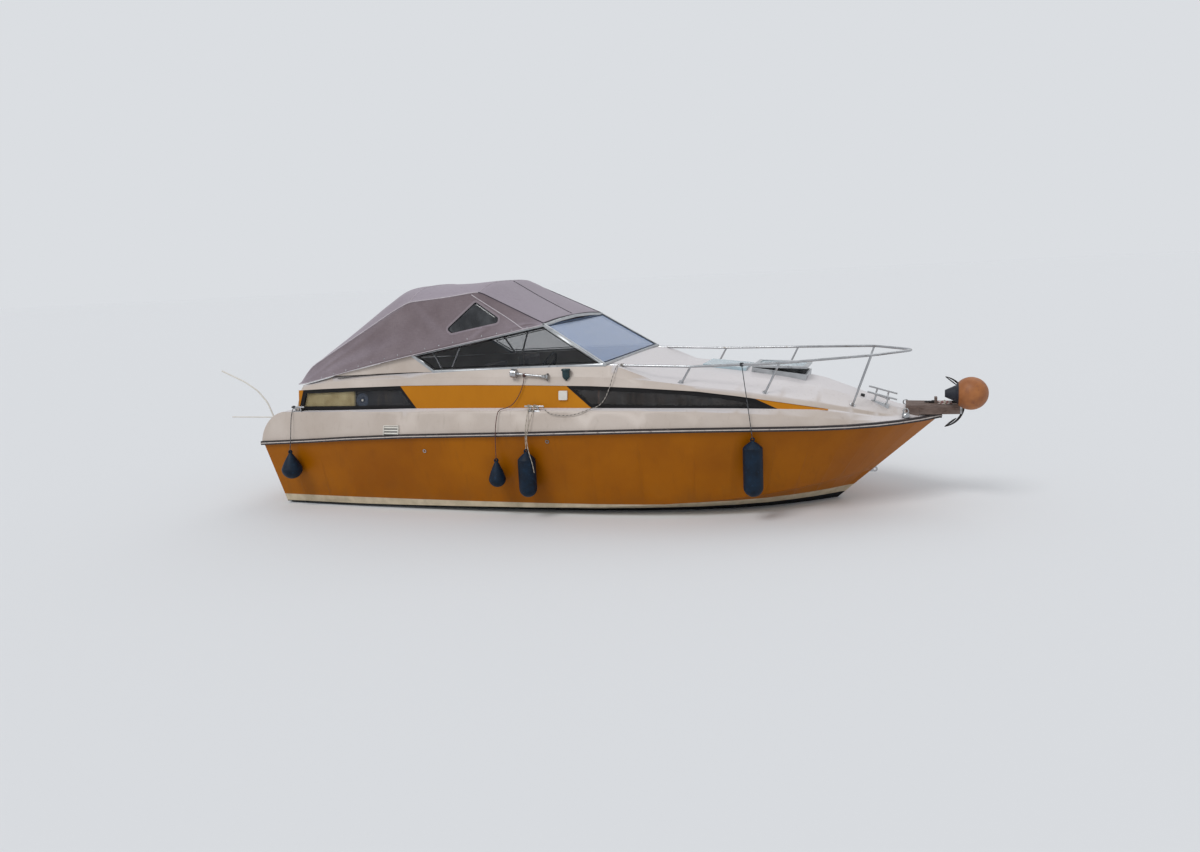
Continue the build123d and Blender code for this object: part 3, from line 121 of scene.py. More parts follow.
def blotches(tree, place, size_mm, detail=3.0, stretch=(1, 1, 1)):
    """Noise from 0 to 1 whose spots are about size_mm across, stretched along the axes."""
    moved = add(tree, "ShaderNodeMapping", {"Vector": place, "Scale": stretch}).outputs["Vector"]
    return add(tree, "ShaderNodeTexNoise", {
        "Vector": moved, "Scale": 1000 / size_mm, "Detail": detail, "Roughness": NOISE_ROUGHNESS,
    }).outputs["Fac"]


def shade(tree, cause, first, second, low=NOISE_LOW, high=NOISE_HIGH, most=1.0, least=0.0):
    """Colour that turns from first towards second as cause goes from low to high."""
    share = add(tree, "ShaderNodeMapRange", {
        "Value": cause, "From Min": low, "From Max": high, "To Min": least, "To Max": most,
    }).outputs["Result"]
    return add(tree, "ShaderNodeMix", {0: share, 6: first, 7: second}, data_type="RGBA").outputs[2]


def surface(tree, shader, colour, relief, depth_mm):
    """Gives the shader its colour, and a relief of depth_mm from a height of 0 to 1."""
    tree.links.new(colour, shader.inputs["Base Color"])
    bump = add(tree, "ShaderNodeBump", {"Height": relief, "Distance": depth_mm / 1000})
    tree.links.new(bump.outputs["Normal"], shader.inputs["Normal"])


def polish(tree, shader, cause, smooth, rough):
    """Roughness that drifts between two values with the noise in cause."""
    drift = add(tree, "ShaderNodeMapRange", {
        "Value": cause, "From Min": NOISE_LOW, "From Max": NOISE_HIGH, "To Min": smooth, "To Max": rough})
    tree.links.new(drift.outputs["Result"], shader.inputs["Roughness"])


def facing_up(tree):
    """How far the surface faces up, from -1 to 1."""
    normal = add(tree, "ShaderNodeNewGeometry").outputs["Normal"]
    return add(tree, "ShaderNodeSeparateXYZ", {"Vector": normal}).outputs["Z"]


def mottled(
        name, dark, light, spot_mm, rough, grain_mm, grain_depth, stretch=(1, 1, 1), wear=None, **sockets):
    """A finish that drifts between two shades, with a fine grain; wear is a third colour in patches."""
    material, tree, shader, place = begin(name, **sockets)
    colour = shade(tree, blotches(tree, place, spot_mm, 4.0, stretch), dark, light)
    if wear:
        patch = blotches(tree, place, spot_mm * 0.35, 6.0, stretch)
        colour = shade(tree, patch, colour, wear, 0.58, 0.72)
    polish(tree, shader, blotches(tree, place, spot_mm * 0.5, 3.0, stretch), *rough)
    surface(tree, shader, colour, blotches(tree, place, grain_mm, 2.0, stretch), grain_depth)
    return material


# Paint lines round the hull, in metres above the waterline, and how much they rise for each metre forward
BAND_TOP = 0.1255
BAND_FOOT = 0.0505
BAND_RISE = 0.006
# Grime on the topsides fades out between these heights
GRIME_TOP = 0.42
GRIME_FOOT = 0.12


def make_topsides():
    """Polyester gelcoat, sprayed in a mould: glossy, chalked in broad clouds, with run marks and grime.
    Ochre down to the boot band, cream in the band, black antifouling paint below it."""
    material, tree, shader, place = begin("gelcoat_topsides", IOR=1.5, Specular_IOR_Level=0.16)
    axes = add(tree, "ShaderNodeSeparateXYZ", {"Vector": place})
    clouds = blotches(tree, place, 700, 4.0)
    ochre = shade(tree, clouds, "#935200", "#A96300")
    runs = blotches(tree, place, 60, 3.0, (1, 1, 0.06))
    ochre = shade(tree, runs, ochre, "#7C4A12", 0.56, 0.8, most=0.30)
    low = add(tree, "ShaderNodeMapRange", {
        "Value": axes.outputs["Z"], "From Min": GRIME_TOP, "From Max": GRIME_FOOT, "To Max": 0.35})
    patches = add(tree, "ShaderNodeMapRange", {
        "Value": blotches(tree, place, 180, 5.0), "From Min": 0.35, "From Max": 0.75})
    grime = add(tree, "ShaderNodeMath", {0: low.outputs["Result"], 1: patches.outputs["Result"]},
                operation="MULTIPLY").outputs[0]
    ochre = shade(tree, grime, ochre, "#6B4A24", 0, 1)
    height = add(tree, "ShaderNodeMath", {0: axes.outputs["X"], 1: -BAND_RISE, 2: axes.outputs["Z"]},
                 operation="MULTIPLY_ADD").outputs[0]
    band = shade(tree, blotches(tree, place, 90, 4.0), "#CDBFA6", "#8E8468", 0.4, 0.75, most=0.5)
    paint = shade(tree, blotches(tree, place, 40, 5.0), "#141516", "#24262A", 0.4, 0.7)
    colour = shade(tree, height, band, ochre, BAND_TOP - 0.001, BAND_TOP + 0.001)
    colour = shade(tree, height, paint, colour, BAND_FOOT - 0.0015, BAND_FOOT + 0.0015)
    dull = add(tree, "ShaderNodeMapRange", {
        "Value": clouds, "From Min": NOISE_LOW, "From Max": NOISE_HIGH, "To Min": 0.30, "To Max": 0.44})
    matte = add(tree, "ShaderNodeMapRange", {
        "Value": height, "From Min": BAND_FOOT + 0.0015, "From Max": BAND_FOOT - 0.0015, "To Max": 0.4})
    both = add(tree, "ShaderNodeMath", {0: dull.outputs["Result"], 1: matte.outputs["Result"]},
               operation="ADD")
    tree.links.new(both.outputs[0], shader.inputs["Roughness"])
    surface(tree, shader, colour, blotches(tree, place, 320, 2.0), 0.8)
    return material


# Slanted ends of the black surrounds of the windows: x at LINE_HEIGHT, and lean
BLACK_AFT = ((-3.050, -0.287), (-1.700, 0.833))
BLACK_FORE = ((0.184, 1.206), (1.735, 2.03))
LINE_HEIGHT = 1.2
LINE_BLUR = 0.001


def make_stripe():
    """Ochre gelcoat of the side recess, cleaner than the topsides because it lies sheltered. Matt black
    paint fills it round the windows."""
    material, tree, shader, place = begin("gelcoat_stripe", IOR=1.5, Specular_IOR_Level=0.2)
    axes = add(tree, "ShaderNodeSeparateXYZ", {"Vector": place})

    def ahead_of(x, lean, ahead):
        line = add(tree, "ShaderNodeMath", {0: axes.outputs["Z"], 1: lean, 2: axes.outputs["X"]},
                   operation="MULTIPLY_ADD").outputs[0]
        edge = x + lean * LINE_HEIGHT
        return add(tree, "ShaderNodeMapRange", {
            "Value": line, "From Min": edge - LINE_BLUR, "From Max": edge + LINE_BLUR,
            "To Min": float(not ahead), "To Max": float(ahead),
        }).outputs["Result"]

    def surround(aft_end, fore_end):
        return add(tree, "ShaderNodeMath", {0: ahead_of(*aft_end, True), 1: ahead_of(*fore_end, False)},
                   operation="MULTIPLY").outputs[0]

    black = add(tree, "ShaderNodeMath", {0: surround(*BLACK_AFT), 1: surround(*BLACK_FORE)},
                operation="MAXIMUM").outputs[0]
    clouds = blotches(tree, place, 420, 4.0, (1, 1, 0.3))
    colour = shade(tree, black, shade(tree, clouds, "#B57008", "#C47E0E"), "#100E0F", 0, 1)
    polish(tree, shader, clouds, 0.36, 0.5)
    surface(tree, shader, colour, blotches(tree, place, 300, 2.0), 0.4)
    return material


def make_deck_gelcoat(name, dark, light, sky_lit, grain_mm, depth):
    """Pale gelcoat, moulded: satin and chalky, lighter where it faces up as painted sky light, with grey dirt
    in broad patches and faint run marks."""
    material, tree, shader, place = begin(name, IOR=1.5, Coat_Weight=0.1, Coat_Roughness=0.25)
    clouds = blotches(tree, place, 520, 5.0)
    colour = shade(tree, clouds, dark, light)
    # Painted sky light: faces that point up turn towards the paler colour
    colour = shade(tree, facing_up(tree), colour, sky_lit, 0.66, 0.93, most=0.85)
    runs = blotches(tree, place, 34, 3.0, (1, 1, 0.05))
    colour = shade(tree, runs, colour, "#9A8D7B", 0.6, 0.82, most=0.35)
    specks = blotches(tree, place, 9, 4.0)
    colour = shade(tree, specks, colour, "#8A8072", 0.66, 0.76, most=0.5)
    polish(tree, shader, clouds, 0.36, 0.52)
    surface(tree, shader, colour, blotches(tree, place, grain_mm, 2.0), depth)
    return material


def make_cloth(name, dark, light, thread_mm, sky_lit_top, sheen):
    """Woven cloth, drawn at a coarser thread than the real 0.5 mm so that the weave shows: warp and weft as
    crossed slubs of uneven thickness, paler where it faces up as painted sky light."""
    material, tree, shader, place = begin(
        name, IOR=1.45, Sheen_Weight=sheen, Sheen_Roughness=0.5, Roughness=0.82)
    warp = blotches(tree, place, thread_mm, 1.0, (1, 0.9, 0.12))
    weft = blotches(tree, place, thread_mm, 1.0, (0.12, 0.5, 1))
    weave = add(tree, "ShaderNodeMath", {0: warp, 1: weft}, operation="MULTIPLY").outputs[0]
    colour = shade(tree, blotches(tree, place, 260, 5.0), dark, light)
    # Painted sky light: faces that point up turn paler
    colour = shade(tree, facing_up(tree), colour, sky_lit_top, 0.25, 0.95, most=0.85)
    colour = shade(tree, blotches(tree, place, 75, 6.0), colour, "#5E5356", 0.6, 0.8, most=0.3)
    # Painted shade: the low parts of the weave turn darker
    colour = shade(tree, weave, colour, "#3E3638", 0.15, 0.38, most=0.0, least=0.16)
    surface(tree, shader, colour, weave, 0.5)
    return material


# The board behind the aft window: beige aft of the loudspeaker, blue-black painted shade ahead of it, then
# painted light and shade of curtain folds
BOARD_SHADE_FROM = (-2.385, -2.350)
BOARD_FOLD_SHADING_FROM = (-2.14, -2.10)


def make_board():
    """Painted hardboard, sallow beige; forward of the loudspeaker it is blue-black painted shade, with brown
    bands of painted light and shade for curtain folds.
    """
    material, tree, shader, place = begin("painted_board", IOR=1.5, Roughness=0.7)
    across = add(tree, "ShaderNodeSeparateXYZ", {"Vector": place}).outputs["X"]
    clouds = blotches(tree, place, 130, 4.0)
    beige = shade(tree, clouds, "#A08E62", "#C6B588")
    # Painted shade: blue-black for the unlit cabin forward of the loudspeaker
    black = shade(tree, clouds, "#10131A", "#1E222A")
    colour = shade(tree, across, beige, black, *BOARD_SHADE_FROM)
    # Painted light and shade of curtain folds: brown upright bands over the blue-black
    folds = add(tree, "ShaderNodeMapRange", {
        "Value": blotches(tree, place, 26, 3.0, (1, 1, 0.02)),
        "From Min": 0.45, "From Max": 0.7, "To Max": 0.6})
    ahead = add(tree, "ShaderNodeMapRange", {
        "Value": across, "From Min": BOARD_FOLD_SHADING_FROM[0], "From Max": BOARD_FOLD_SHADING_FROM[1]})
    curtain = add(tree, "ShaderNodeMath", {0: folds.outputs["Result"], 1: ahead.outputs["Result"]},
                  operation="MULTIPLY").outputs[0]
    colour = shade(tree, curtain, colour, "#4A4038", 0, 1)
    surface(tree, shader, colour, blotches(tree, place, 40, 3.0), 0.4)
    return material


# The float's skin turns navy aft of here
NECK_FROM = (3.662, 3.654)


def make_ball_skin():
    """Rotomoulded vinyl of the float: orange, sun-faded in broad patches and smeared brown, its neck
    navy-black.
    """
    material, tree, shader, place = begin("float_skin", IOR=1.5)
    across = add(tree, "ShaderNodeSeparateXYZ", {"Vector": place}).outputs["X"]
    clouds = blotches(tree, place, 110, 4.0)
    colour = shade(tree, clouds, "#8E5328", "#AC6C38")
    smears = blotches(tree, place, 60, 6.0, (1, 1, 0.4))
    colour = shade(tree, smears, colour, "#6E3F2D", 0.55, 0.72, most=0.7)
    colour = shade(tree, across, colour, "#161A26", *NECK_FROM)
    polish(tree, shader, clouds, 0.45, 0.6)
    surface(tree, shader, colour, blotches(tree, place, 12, 2.0), 0.5)
    return material


def make_plank():
    """Weathered teak, sawn: grey-brown, dry and open-grained along its length, with dark checks."""
    material, tree, shader, place = begin("weathered_teak", IOR=1.45)
    grain = blotches(tree, place, 5, 5.0, (0.07, 1, 1))
    colour = shade(tree, grain, "#40302A", "#7A655A")
    broad = blotches(tree, place, 60, 3.0, (0.3, 1, 1))
    colour = shade(tree, broad, colour, "#8A7C76", 0.35, 0.7, most=0.5)
    polish(tree, shader, grain, 0.65, 0.85)
    surface(tree, shader, colour, grain, 0.9)
    return material


def make_ply():
    """Varnished mahogany ply: warm, satin, with a fine vertical figure."""
    material, tree, shader, place = begin("mahogany_ply", IOR=1.5, Coat_Weight=0.3, Coat_Roughness=0.2)
    figure = blotches(tree, place, 14, 4.0, (1, 1, 0.06))
    colour = shade(tree, figure, "#4A2A17", "#80502E")
    colour = shade(tree, blotches(tree, place, 160, 3.0, (1, 1, 0.4)), colour, "#5C3820", most=0.4)
    polish(tree, shader, figure, 0.35, 0.5)
    surface(tree, shader, colour, figure, 0.15)
    return material


def make_clear(name, colour, alpha, rough, haze):
    """Clear or tinted acrylic and glass sheet: smooth, with dust that greys it in soft patches."""
    material, tree, shader, place = begin(name, IOR=1.49, Coat_Weight=0.3, Coat_Roughness=0.05, Alpha=alpha)
    dust = blotches(tree, place, 140, 5.0)
    polish(tree, shader, dust, rough, rough + 0.12)
    surface(tree, shader, shade(tree, dust, colour, "#A9AEB2", 0.4, 0.75, most=haze), dust, 0.3)
    return material


def make_rope(name, first, second, lay_m):
    """Three-strand rope: each strand keeps its own shade along the lay, with a fuzz of broken fibre."""
    material, tree, shader, place = begin(name, IOR=1.45, Sheen_Weight=0.3, Roughness=0.85)
    along = add(tree, "ShaderNodeUVMap", uv_map="UVMap").outputs["UV"]
    axes = add(tree, "ShaderNodeSeparateXYZ", {"Vector": along})
    turn = add(tree, "ShaderNodeMath", {0: axes.outputs["Y"], 1: 1 / lay_m, 2: axes.outputs["X"]},
               operation="MULTIPLY_ADD").outputs[0]
    strand = add(tree, "ShaderNodeMath", {0: turn}, operation="FRACT").outputs[0]
    colour = shade(tree, strand, first, second, 0.62, 0.7)
    fibre = blotches(tree, place, 4, 4.0)
    colour = shade(tree, fibre, colour, "#2E2A28", 0.45, 0.7, most=0.4)
    surface(tree, shader, colour, fibre, 0.6)
    return material


FINISH = {
    # Gelcoats, their make described in the functions
    "gelcoat_topsides": make_topsides(),
    # The last colour of each pale gelcoat is painted sky light for faces that point up
    "gelcoat_deck": make_deck_gelcoat("gelcoat_deck", "#BBADA1", "#CCC0B6", "#DBD7D9", 420, 0.5),
    "liner_gelcoat": make_deck_gelcoat("gelcoat_liner", "#B9B09E", "#CCC5B6", "#C9C3B6", 300, 0.4),
    # Black EPDM fender strip: dull and scuffed grey-brown
    "rail_rubber": mottled(
        "fender_rubber", "#1C1718", "#33292A", 160, (0.55, 0.75), 6, 0.3, wear="#55494A", IOR=1.52),
    # PVC infill strip in the fender rubber: yellowed white, with dark scuffs
    "rail_insert": mottled("pvc_infill", "#B9AFA9", "#D3CBC4", 90, (0.4, 0.6), 5, 0.15, wear="#8B7F7B"),
    "stripe_ochre": make_stripe(),
    # Extruded window rubber: matt black, bloomed grey
    "window_rubber": mottled(
        "window_rubber", "#0E0D0E", "#1A1819", 70, (0.6, 0.8), 3, 0.15, Specular_IOR_Level=0.25),
    # Tinted window sheet, dark brown
    "tinted_acrylic": make_clear("tinted_acrylic", "#1D1A19", 0.35, 0.06, 0.18),
    "bulkhead_ply": make_ply(),
    # Woven berth cloth, brown-grey, paler on top as painted sky light
    "cushion_fabric": make_cloth("berth_cloth", "#544D4B", "#6E6560", 3.0, "#7A726C", 0.3),
    # Grained ABS of the console: dark blue
    "console_plastic": mottled("abs_console", "#12172A", "#1B2238", 200, (0.5, 0.65), 1.5, 0.1),
    # Moulded nylon and wheel rim: satin black
    "black_plastic": mottled("nylon_black", "#0E0E10", "#1A1A1C", 60, (0.4, 0.55), 2, 0.08),
    # Cast and sprayed engine enamel: dark grey-green with oil film
    "engine_enamel": mottled("engine_enamel", "#1B2223", "#2C3435", 90, (0.3, 0.5), 8, 0.3, wear="#0E0F0F"),
    # Anodised aluminium extrusion: soft sheen, fine pits
    "aluminium_frame": mottled(
        "anodised_aluminium", "#A9ABAD", "#BFC1C2", 120, (0.3, 0.45), 2, 0.05, wear="#8A8C8E", Metallic=1.0),
    # Windscreen glass coloured with a painted reflection of the blue sky, smoked acrylic aft, and grey side
    # glass
    "screen_glass": make_clear("screen_glass", "#86A2CE", 0.62, 0.04, 0.22),
    "aft_acrylic": make_clear("smoked_acrylic", "#2A2722", 0.10, 0.05, 0.10),
    "side_glass": make_clear("side_glass", "#25282C", 0.24, 0.04, 0.10),
    # Acrylic canvas, mauve-grey and paler on top as painted sky light, with windows of clear PVC
    "canopy_fabric": make_cloth("acrylic_canvas", "#74666A", "#84777B", 7.0, "#A99FAB", 0.15),
    "canopy_clear": make_clear("pvc_window", "#14171C", 0.86, 0.08, 0.12),
    # Polished 316 tube: bright, with tea-coloured specks
    "stainless": mottled(
        "stainless_tube", "#A3A4A6", "#BDBEC0", 140, (0.18, 0.32), 3, 0.03, wear="#7E766D", Metallic=1.0),
    # Hatch acrylic, pale blue as a painted reflection of the sky, and clouded with dust
    "hatch_pane": make_clear("hatch_acrylic_sky_reflection", "#BCD3DC", 0.8, 0.08, 0.3),
    "teak": make_plank(),
    # Hot-dip zinc, gone dull: spangled grey with rust showing through
    "galvanised": mottled(
        "weathered_zinc", "#242223", "#383636", 26, (0.6, 0.8), 5, 0.5, wear="#3E2C24", Metallic=0.3),
    "float_plastic": make_ball_skin(),
    # Air-filled PVC fender skin: navy, slightly tacky gloss, rubbed pale
    "fender_vinyl": mottled(
        "fender_skin", "#06121F", "#0D2438", 80, (0.44, 0.58), 7, 0.25, wear="#182F45",
        Specular_IOR_Level=0.22),
    # Semi-gloss black drive enamel with chalky patches
    "drive_paint": mottled("drive_enamel", "#101112", "#1C1E20", 70, (0.35, 0.55), 6, 0.2, wear="#3A3C3C"),
    # Cast alloy, painted black and scraped bright
    "propeller_alloy": mottled(
        "painted_alloy", "#17181A", "#26282B", 50, (0.35, 0.5), 5, 0.2, wear="#5A5C5E", Metallic=0.4),
    # Injection-moulded lamp body: dark sea-green lens plastic
    "lamp_lens": mottled("lamp_plastic", "#0B2B30", "#12393E", 40, (0.12, 0.25), 4, 0.05, IOR=1.49),
    # White ABS covers, yellowed
    "white_plastic": mottled("abs_white", "#D2CDC3", "#E2DED6", 60, (0.35, 0.5), 3, 0.05),
    # Grained PVC seat covers, grey and satin
    "seat_vinyl": mottled(
        "seat_vinyl", "#928E8F", "#9D999A", 160, (0.45, 0.6), 2.5, 0.25, wear="#878385", IOR=1.5),
    # Cream vinyl welt and seat facings
    "vinyl_cream": mottled("vinyl_cream", "#BFB6A4", "#D0C8B8", 90, (0.45, 0.6), 2.5, 0.2),
    # Laid polyester rope: red-brown, black, natural, flecked, and red with white
    "lanyard_rope": make_rope("rope_red_brown", "#4A2723", "#6B3B33", 0.05),
    "dark_rope": make_rope("rope_dark", "#1A1C20", "#565A60", 0.05),
    "mooring_rope": make_rope("rope_natural", "#BDB3A2", "#8F8474", 0.05),
    "fleck_rope": make_rope("rope_flecked", "#B7AFA6", "#3A3534", 0.04),
    "coil_rope": make_rope("rope_red_white", "#D8CFC8", "#8E2E2C", 0.045),
    # Painted board behind the aft window
    "board_beige": make_board(),
    # Gathered curtain cloth: dull brown folds about 30 mm apart, a shallow relief with painted light and
    # shade in upright bands
    "curtain_cloth": mottled("curtain_cloth", "#2E2724", "#5C4E45", 30, (0.8, 0.95), 30, 3.0, (1, 1, 0.02)),
    # Cone paper and rubber of a small loudspeaker
    "cone_paper": mottled("cone_paper", "#2A3240", "#465061", 20, (0.6, 0.8), 1.5, 0.1),
    # The canopy's own canvas, doubled over, paler on top as painted sky light
    "canopy_band": make_cloth("canvas_band", "#867A7F", "#968A90", 7.0, "#A99FAB", 0.15),
    # Polyester webbing and welts of the canopy
    "welt": mottled("canvas_welt", "#B5ACB2", "#CBC4C8", 40, (0.7, 0.85), 2, 0.2),
    "dark_welt": mottled("canvas_welt_dark", "#38323A", "#4A434B", 40, (0.7, 0.85), 2, 0.2),
}


def keep(mesh, name):
    """An object for a finished mesh."""
    mesh.name = name
    piece = bpy.data.objects.new(name, mesh)
    bpy.context.scene.collection.objects.link(piece)
    return piece


def from_bmesh(shape, name, smooth_deg=35):
    """A piece from a bmesh, outward, with soft shading up to smooth_deg."""
    bmesh.ops.recalc_face_normals(shape, faces=shape.faces)
    mesh = bpy.data.meshes.new(name)
    shape.to_mesh(mesh)
    shape.free()
    mesh.shade_smooth()
    mesh.set_sharp_from_angle(angle=math.radians(smooth_deg))
    return keep(mesh, name)


def settle(piece):
    """Applies every modifier of a piece."""
    graph = bpy.context.evaluated_depsgraph_get()
    mesh = bpy.data.meshes.new_from_object(piece.evaluated_get(graph), depsgraph=graph)
    old = piece.data
    piece.modifiers.clear()
    if piece.type == "CURVE":
        name = piece.name
        bpy.data.objects.remove(piece)
        return keep(mesh, name)
    piece.data = mesh
    if old.users == 0:
        bpy.data.meshes.remove(old)
    return piece


def finish_piece(piece, material, like, stands_for=()):
    """Gives a piece its material and the body of the node it is like, and hides the nodes it stands for."""
    if material:
        piece.data.materials.clear()
        piece.data.materials.append(FINISH[material])
    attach(piece, BODY_OF[like])
    if stands_for:
        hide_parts(*stands_for)
    return piece


# Corners closer than this are one, and faces flatter than this are made one before edges are rounded
WELD = 0.00002
FLAT_DEG = 0.4


def node_shape(node, flat_deg=0.0):
    """A bmesh of a node with its loose triangles joined, and flat areas made one face each."""
    shape = bmesh.new()
    shape.from_mesh(frame["nodes"][node].data)
    bmesh.ops.remove_doubles(shape, verts=shape.verts, dist=WELD)
    if flat_deg:
        bmesh.ops.dissolve_limit(
            shape, angle_limit=math.radians(flat_deg), verts=shape.verts, edges=shape.edges)
    return shape


def even_shading(piece):
    """Lets large faces set the shading at each corner, so that long thin ones leave no streaks."""
    weighting = piece.modifiers.new("Shading", "WEIGHTED_NORMAL")
    weighting.weight = 60
    weighting.keep_sharp = True
    return settle(piece)


def islands(shape):
    """The separate solids of a bmesh, each as a set of vertices."""
    loose, out = set(shape.verts), []
    for start in list(shape.verts):
        if start not in loose:
            continue
        loose.discard(start)
        found, edge = {start}, [start]
        while edge:
            for link in edge.pop().link_edges:
                for vert in link.verts:
                    if vert in loose:
                        loose.discard(vert)
                        found.add(vert)
                        edge.append(vert)
        out.append(found)
    return out


def span(places):
    """The low and high corner of the box round some points."""
    places = list(places)
    return (
        Vector([min(p[i] for p in places) for i in range(3)]),
        Vector([max(p[i] for p in places) for i in range(3)]),
    )


def part_of_node(node, name, chosen, material):
    """A piece made of the solids of a node whose middle and size pass the test chosen."""
    shape = node_shape(node)
    drop = []
    for island in islands(shape):
        middle = sum((v.co for v in island), Vector()) / len(island)
        low, high = span(v.co for v in island)
        if not chosen(middle, high - low):
            drop += list(island)
    bmesh.ops.delete(shape, geom=drop, context="VERTS")
    piece = from_bmesh(shape, name, 32)
    even_shading(piece)
    return finish_piece(piece, material, node, stands_for=(node,))


def dress(node, edge_mm, smooth_deg):
    """Stands a soft-shaded copy, with rounded edges where edge_mm is given, in a node's place."""
    shape = node_shape(node, FLAT_DEG if edge_mm else 0.0)
    mesh = bpy.data.meshes.new(node + "_skin")
    shape.to_mesh(mesh)
    shape.free()
    mesh.shade_smooth()
    mesh.set_sharp_from_angle(angle=math.radians(smooth_deg))
    piece = keep(mesh, node + "_skin")
    if edge_mm:
        bevel = piece.modifiers.new("Edges", "BEVEL")
        bevel.width = edge_mm / 1000
        bevel.segments = 2
        bevel.limit_method = "ANGLE"
        bevel.angle_limit = math.radians(smooth_deg)
        piece = settle(piece)
        piece.data.set_sharp_from_angle(angle=math.radians(smooth_deg))
    even_shading(piece)
    finish_piece(piece, SLOT_OF[node], node, stands_for=(node,))


def turned_shape(outline, place, direction, steps=32):
    """A bmesh turned about direction from an outline of distances along it and radii, in metres."""
    axis = Vector(direction).normalized()
    side = axis.orthogonal().normalized()
    other = axis.cross(side)
    shape = bmesh.new()
    rings = []
    for reach, radius in outline:
        centre = Vector(place) + axis * reach
        if radius < 1e-6:
            rings.append([shape.verts.new(centre)])
            continue
        rings.append([
            shape.verts.new(centre + side * math.cos(t) * radius + other * math.sin(t) * radius)
            for t in (2 * math.pi * i / steps for i in range(steps))
        ])
    for first, second in zip(rings, rings[1:]):
        for i in range(steps):
            j = (i + 1) % steps
            corners = [ring[k % len(ring)] for ring, k in ((first, i), (first, j), (second, j), (second, i))]
            unique = list(dict.fromkeys(corners))
            if len(unique) > 2:
                shape.faces.new(unique)
    for ring in (rings[0], rings[-1]):
        if len(ring) > 1:
            shape.faces.new(ring)
    return shape


ROUTE_STEPS = 12


def spline_points(points):
    """Points along the smooth curve of a route."""
    curve = bpy.data.curves.new("route", "CURVE")
    curve.dimensions = "3D"
    spline = curve.splines.new("NURBS")
    spline.points.add(len(points) - 1)
    for point, place in zip(spline.points, points):
        point.co = (*place, 1)
    spline.order_u = 3
    spline.use_endpoint_u = True
    spline.resolution_u = ROUTE_STEPS
    route = bpy.data.objects.new("route", curve)
    bpy.context.scene.collection.objects.link(route)
    graph = bpy.context.evaluated_depsgraph_get()
    mesh = bpy.data.meshes.new_from_object(route.evaluated_get(graph), depsgraph=graph)
    path = [v.co.copy() for v in mesh.vertices]
    bpy.data.objects.remove(route)
    bpy.data.meshes.remove(mesh)
    bpy.data.curves.remove(curve)
    return path


def even_steps(path, step):
    """Points a step apart along a line of points."""
    total = sum((b - a).length for a, b in zip(path, path[1:]))
    count = max(2, round(total / step))
    marks = [total * i / count for i in range(count + 1)]
    out, gone, k = [], 0.0, 0
    for mark in marks:
        while k < len(path) - 2 and gone + (path[k + 1] - path[k]).length < mark:
            gone += (path[k + 1] - path[k]).length
            k += 1
        run = path[k + 1] - path[k]
        share = (mark - gone) / run.length if run.length else 0
        out.append(path[k] + run * min(1, max(0, share)))
    return out, total


# Laid rope: strands, sides of its section, length of a twist in diameters, and how round it is
STRANDS = 3
ROPE_SIDES = 12
ROPE_LAY = 6.0
ROPE_ROUND = 0.88
# Points in a turn of rope round a bar
WRAP_STEPS = 10


def rope_shape(name, path, diameter, step=0.005):
    """A mesh of laid rope along a path, with UV: round the rope, and metres along it."""
    points, total = even_steps(path, step)
    shape = bmesh.new()
    uv = shape.loops.layers.uv.new("UVMap")
    normal = (points[1] - points[0]).orthogonal().normalized()
    rings = []
    radius = diameter / 2
    for i, point in enumerate(points):
        ahead = (points[min(i + 1, len(points) - 1)] - points[max(i - 1, 0)]).normalized()
        normal = (normal - ahead * normal.dot(ahead)).normalized()
        other = ahead.cross(normal)
        gone = total * i / (len(points) - 1)
        twist = 2 * math.pi * gone / (ROPE_LAY * diameter)
        ring = []
        for k in range(ROPE_SIDES):
            angle = 2 * math.pi * k / ROPE_SIDES
            wave = abs(math.cos(STRANDS * (angle - twist) / 2))
            reach = radius * (ROPE_ROUND + (1 - ROPE_ROUND) * wave)
            away = normal * math.cos(angle) * reach + other * math.sin(angle) * reach
            ring.append(shape.verts.new(point + away))
        rings.append((ring, gone))
    for (first, low), (second, high) in zip(rings, rings[1:]):
        for k in range(ROPE_SIDES):
            j = (k + 1) % ROPE_SIDES
            face = shape.faces.new((first[k], first[j], second[j], second[k]))
            marks = ((k, low), (k + 1, low), (k + 1, high), (k, high))
            for loop, (across, along) in zip(face.loops, marks):
                loop[uv].uv = (across / ROPE_SIDES, along)
    shape.faces.new(list(reversed(rings[0][0])))
    shape.faces.new(rings[-1][0])
    return from_bmesh(shape, name, 60), points, total


def wrap_points(centre, axis, radius, turns, pitch):
    """Points of a rope wound round a bar."""
    axis = Vector(axis).normalized()
    side = axis.orthogonal().normalized()
    other = axis.cross(side)
    count = int(turns * WRAP_STEPS) + 1
    return [
        Vector(centre) + side * math.cos(t) * radius + other * math.sin(t) * radius
        + axis * pitch * t / (2 * math.pi)
        for t in (turns * 2 * math.pi * i / (count - 1) for i in range(count))
    ]


LINE_WIDTH = 0.008
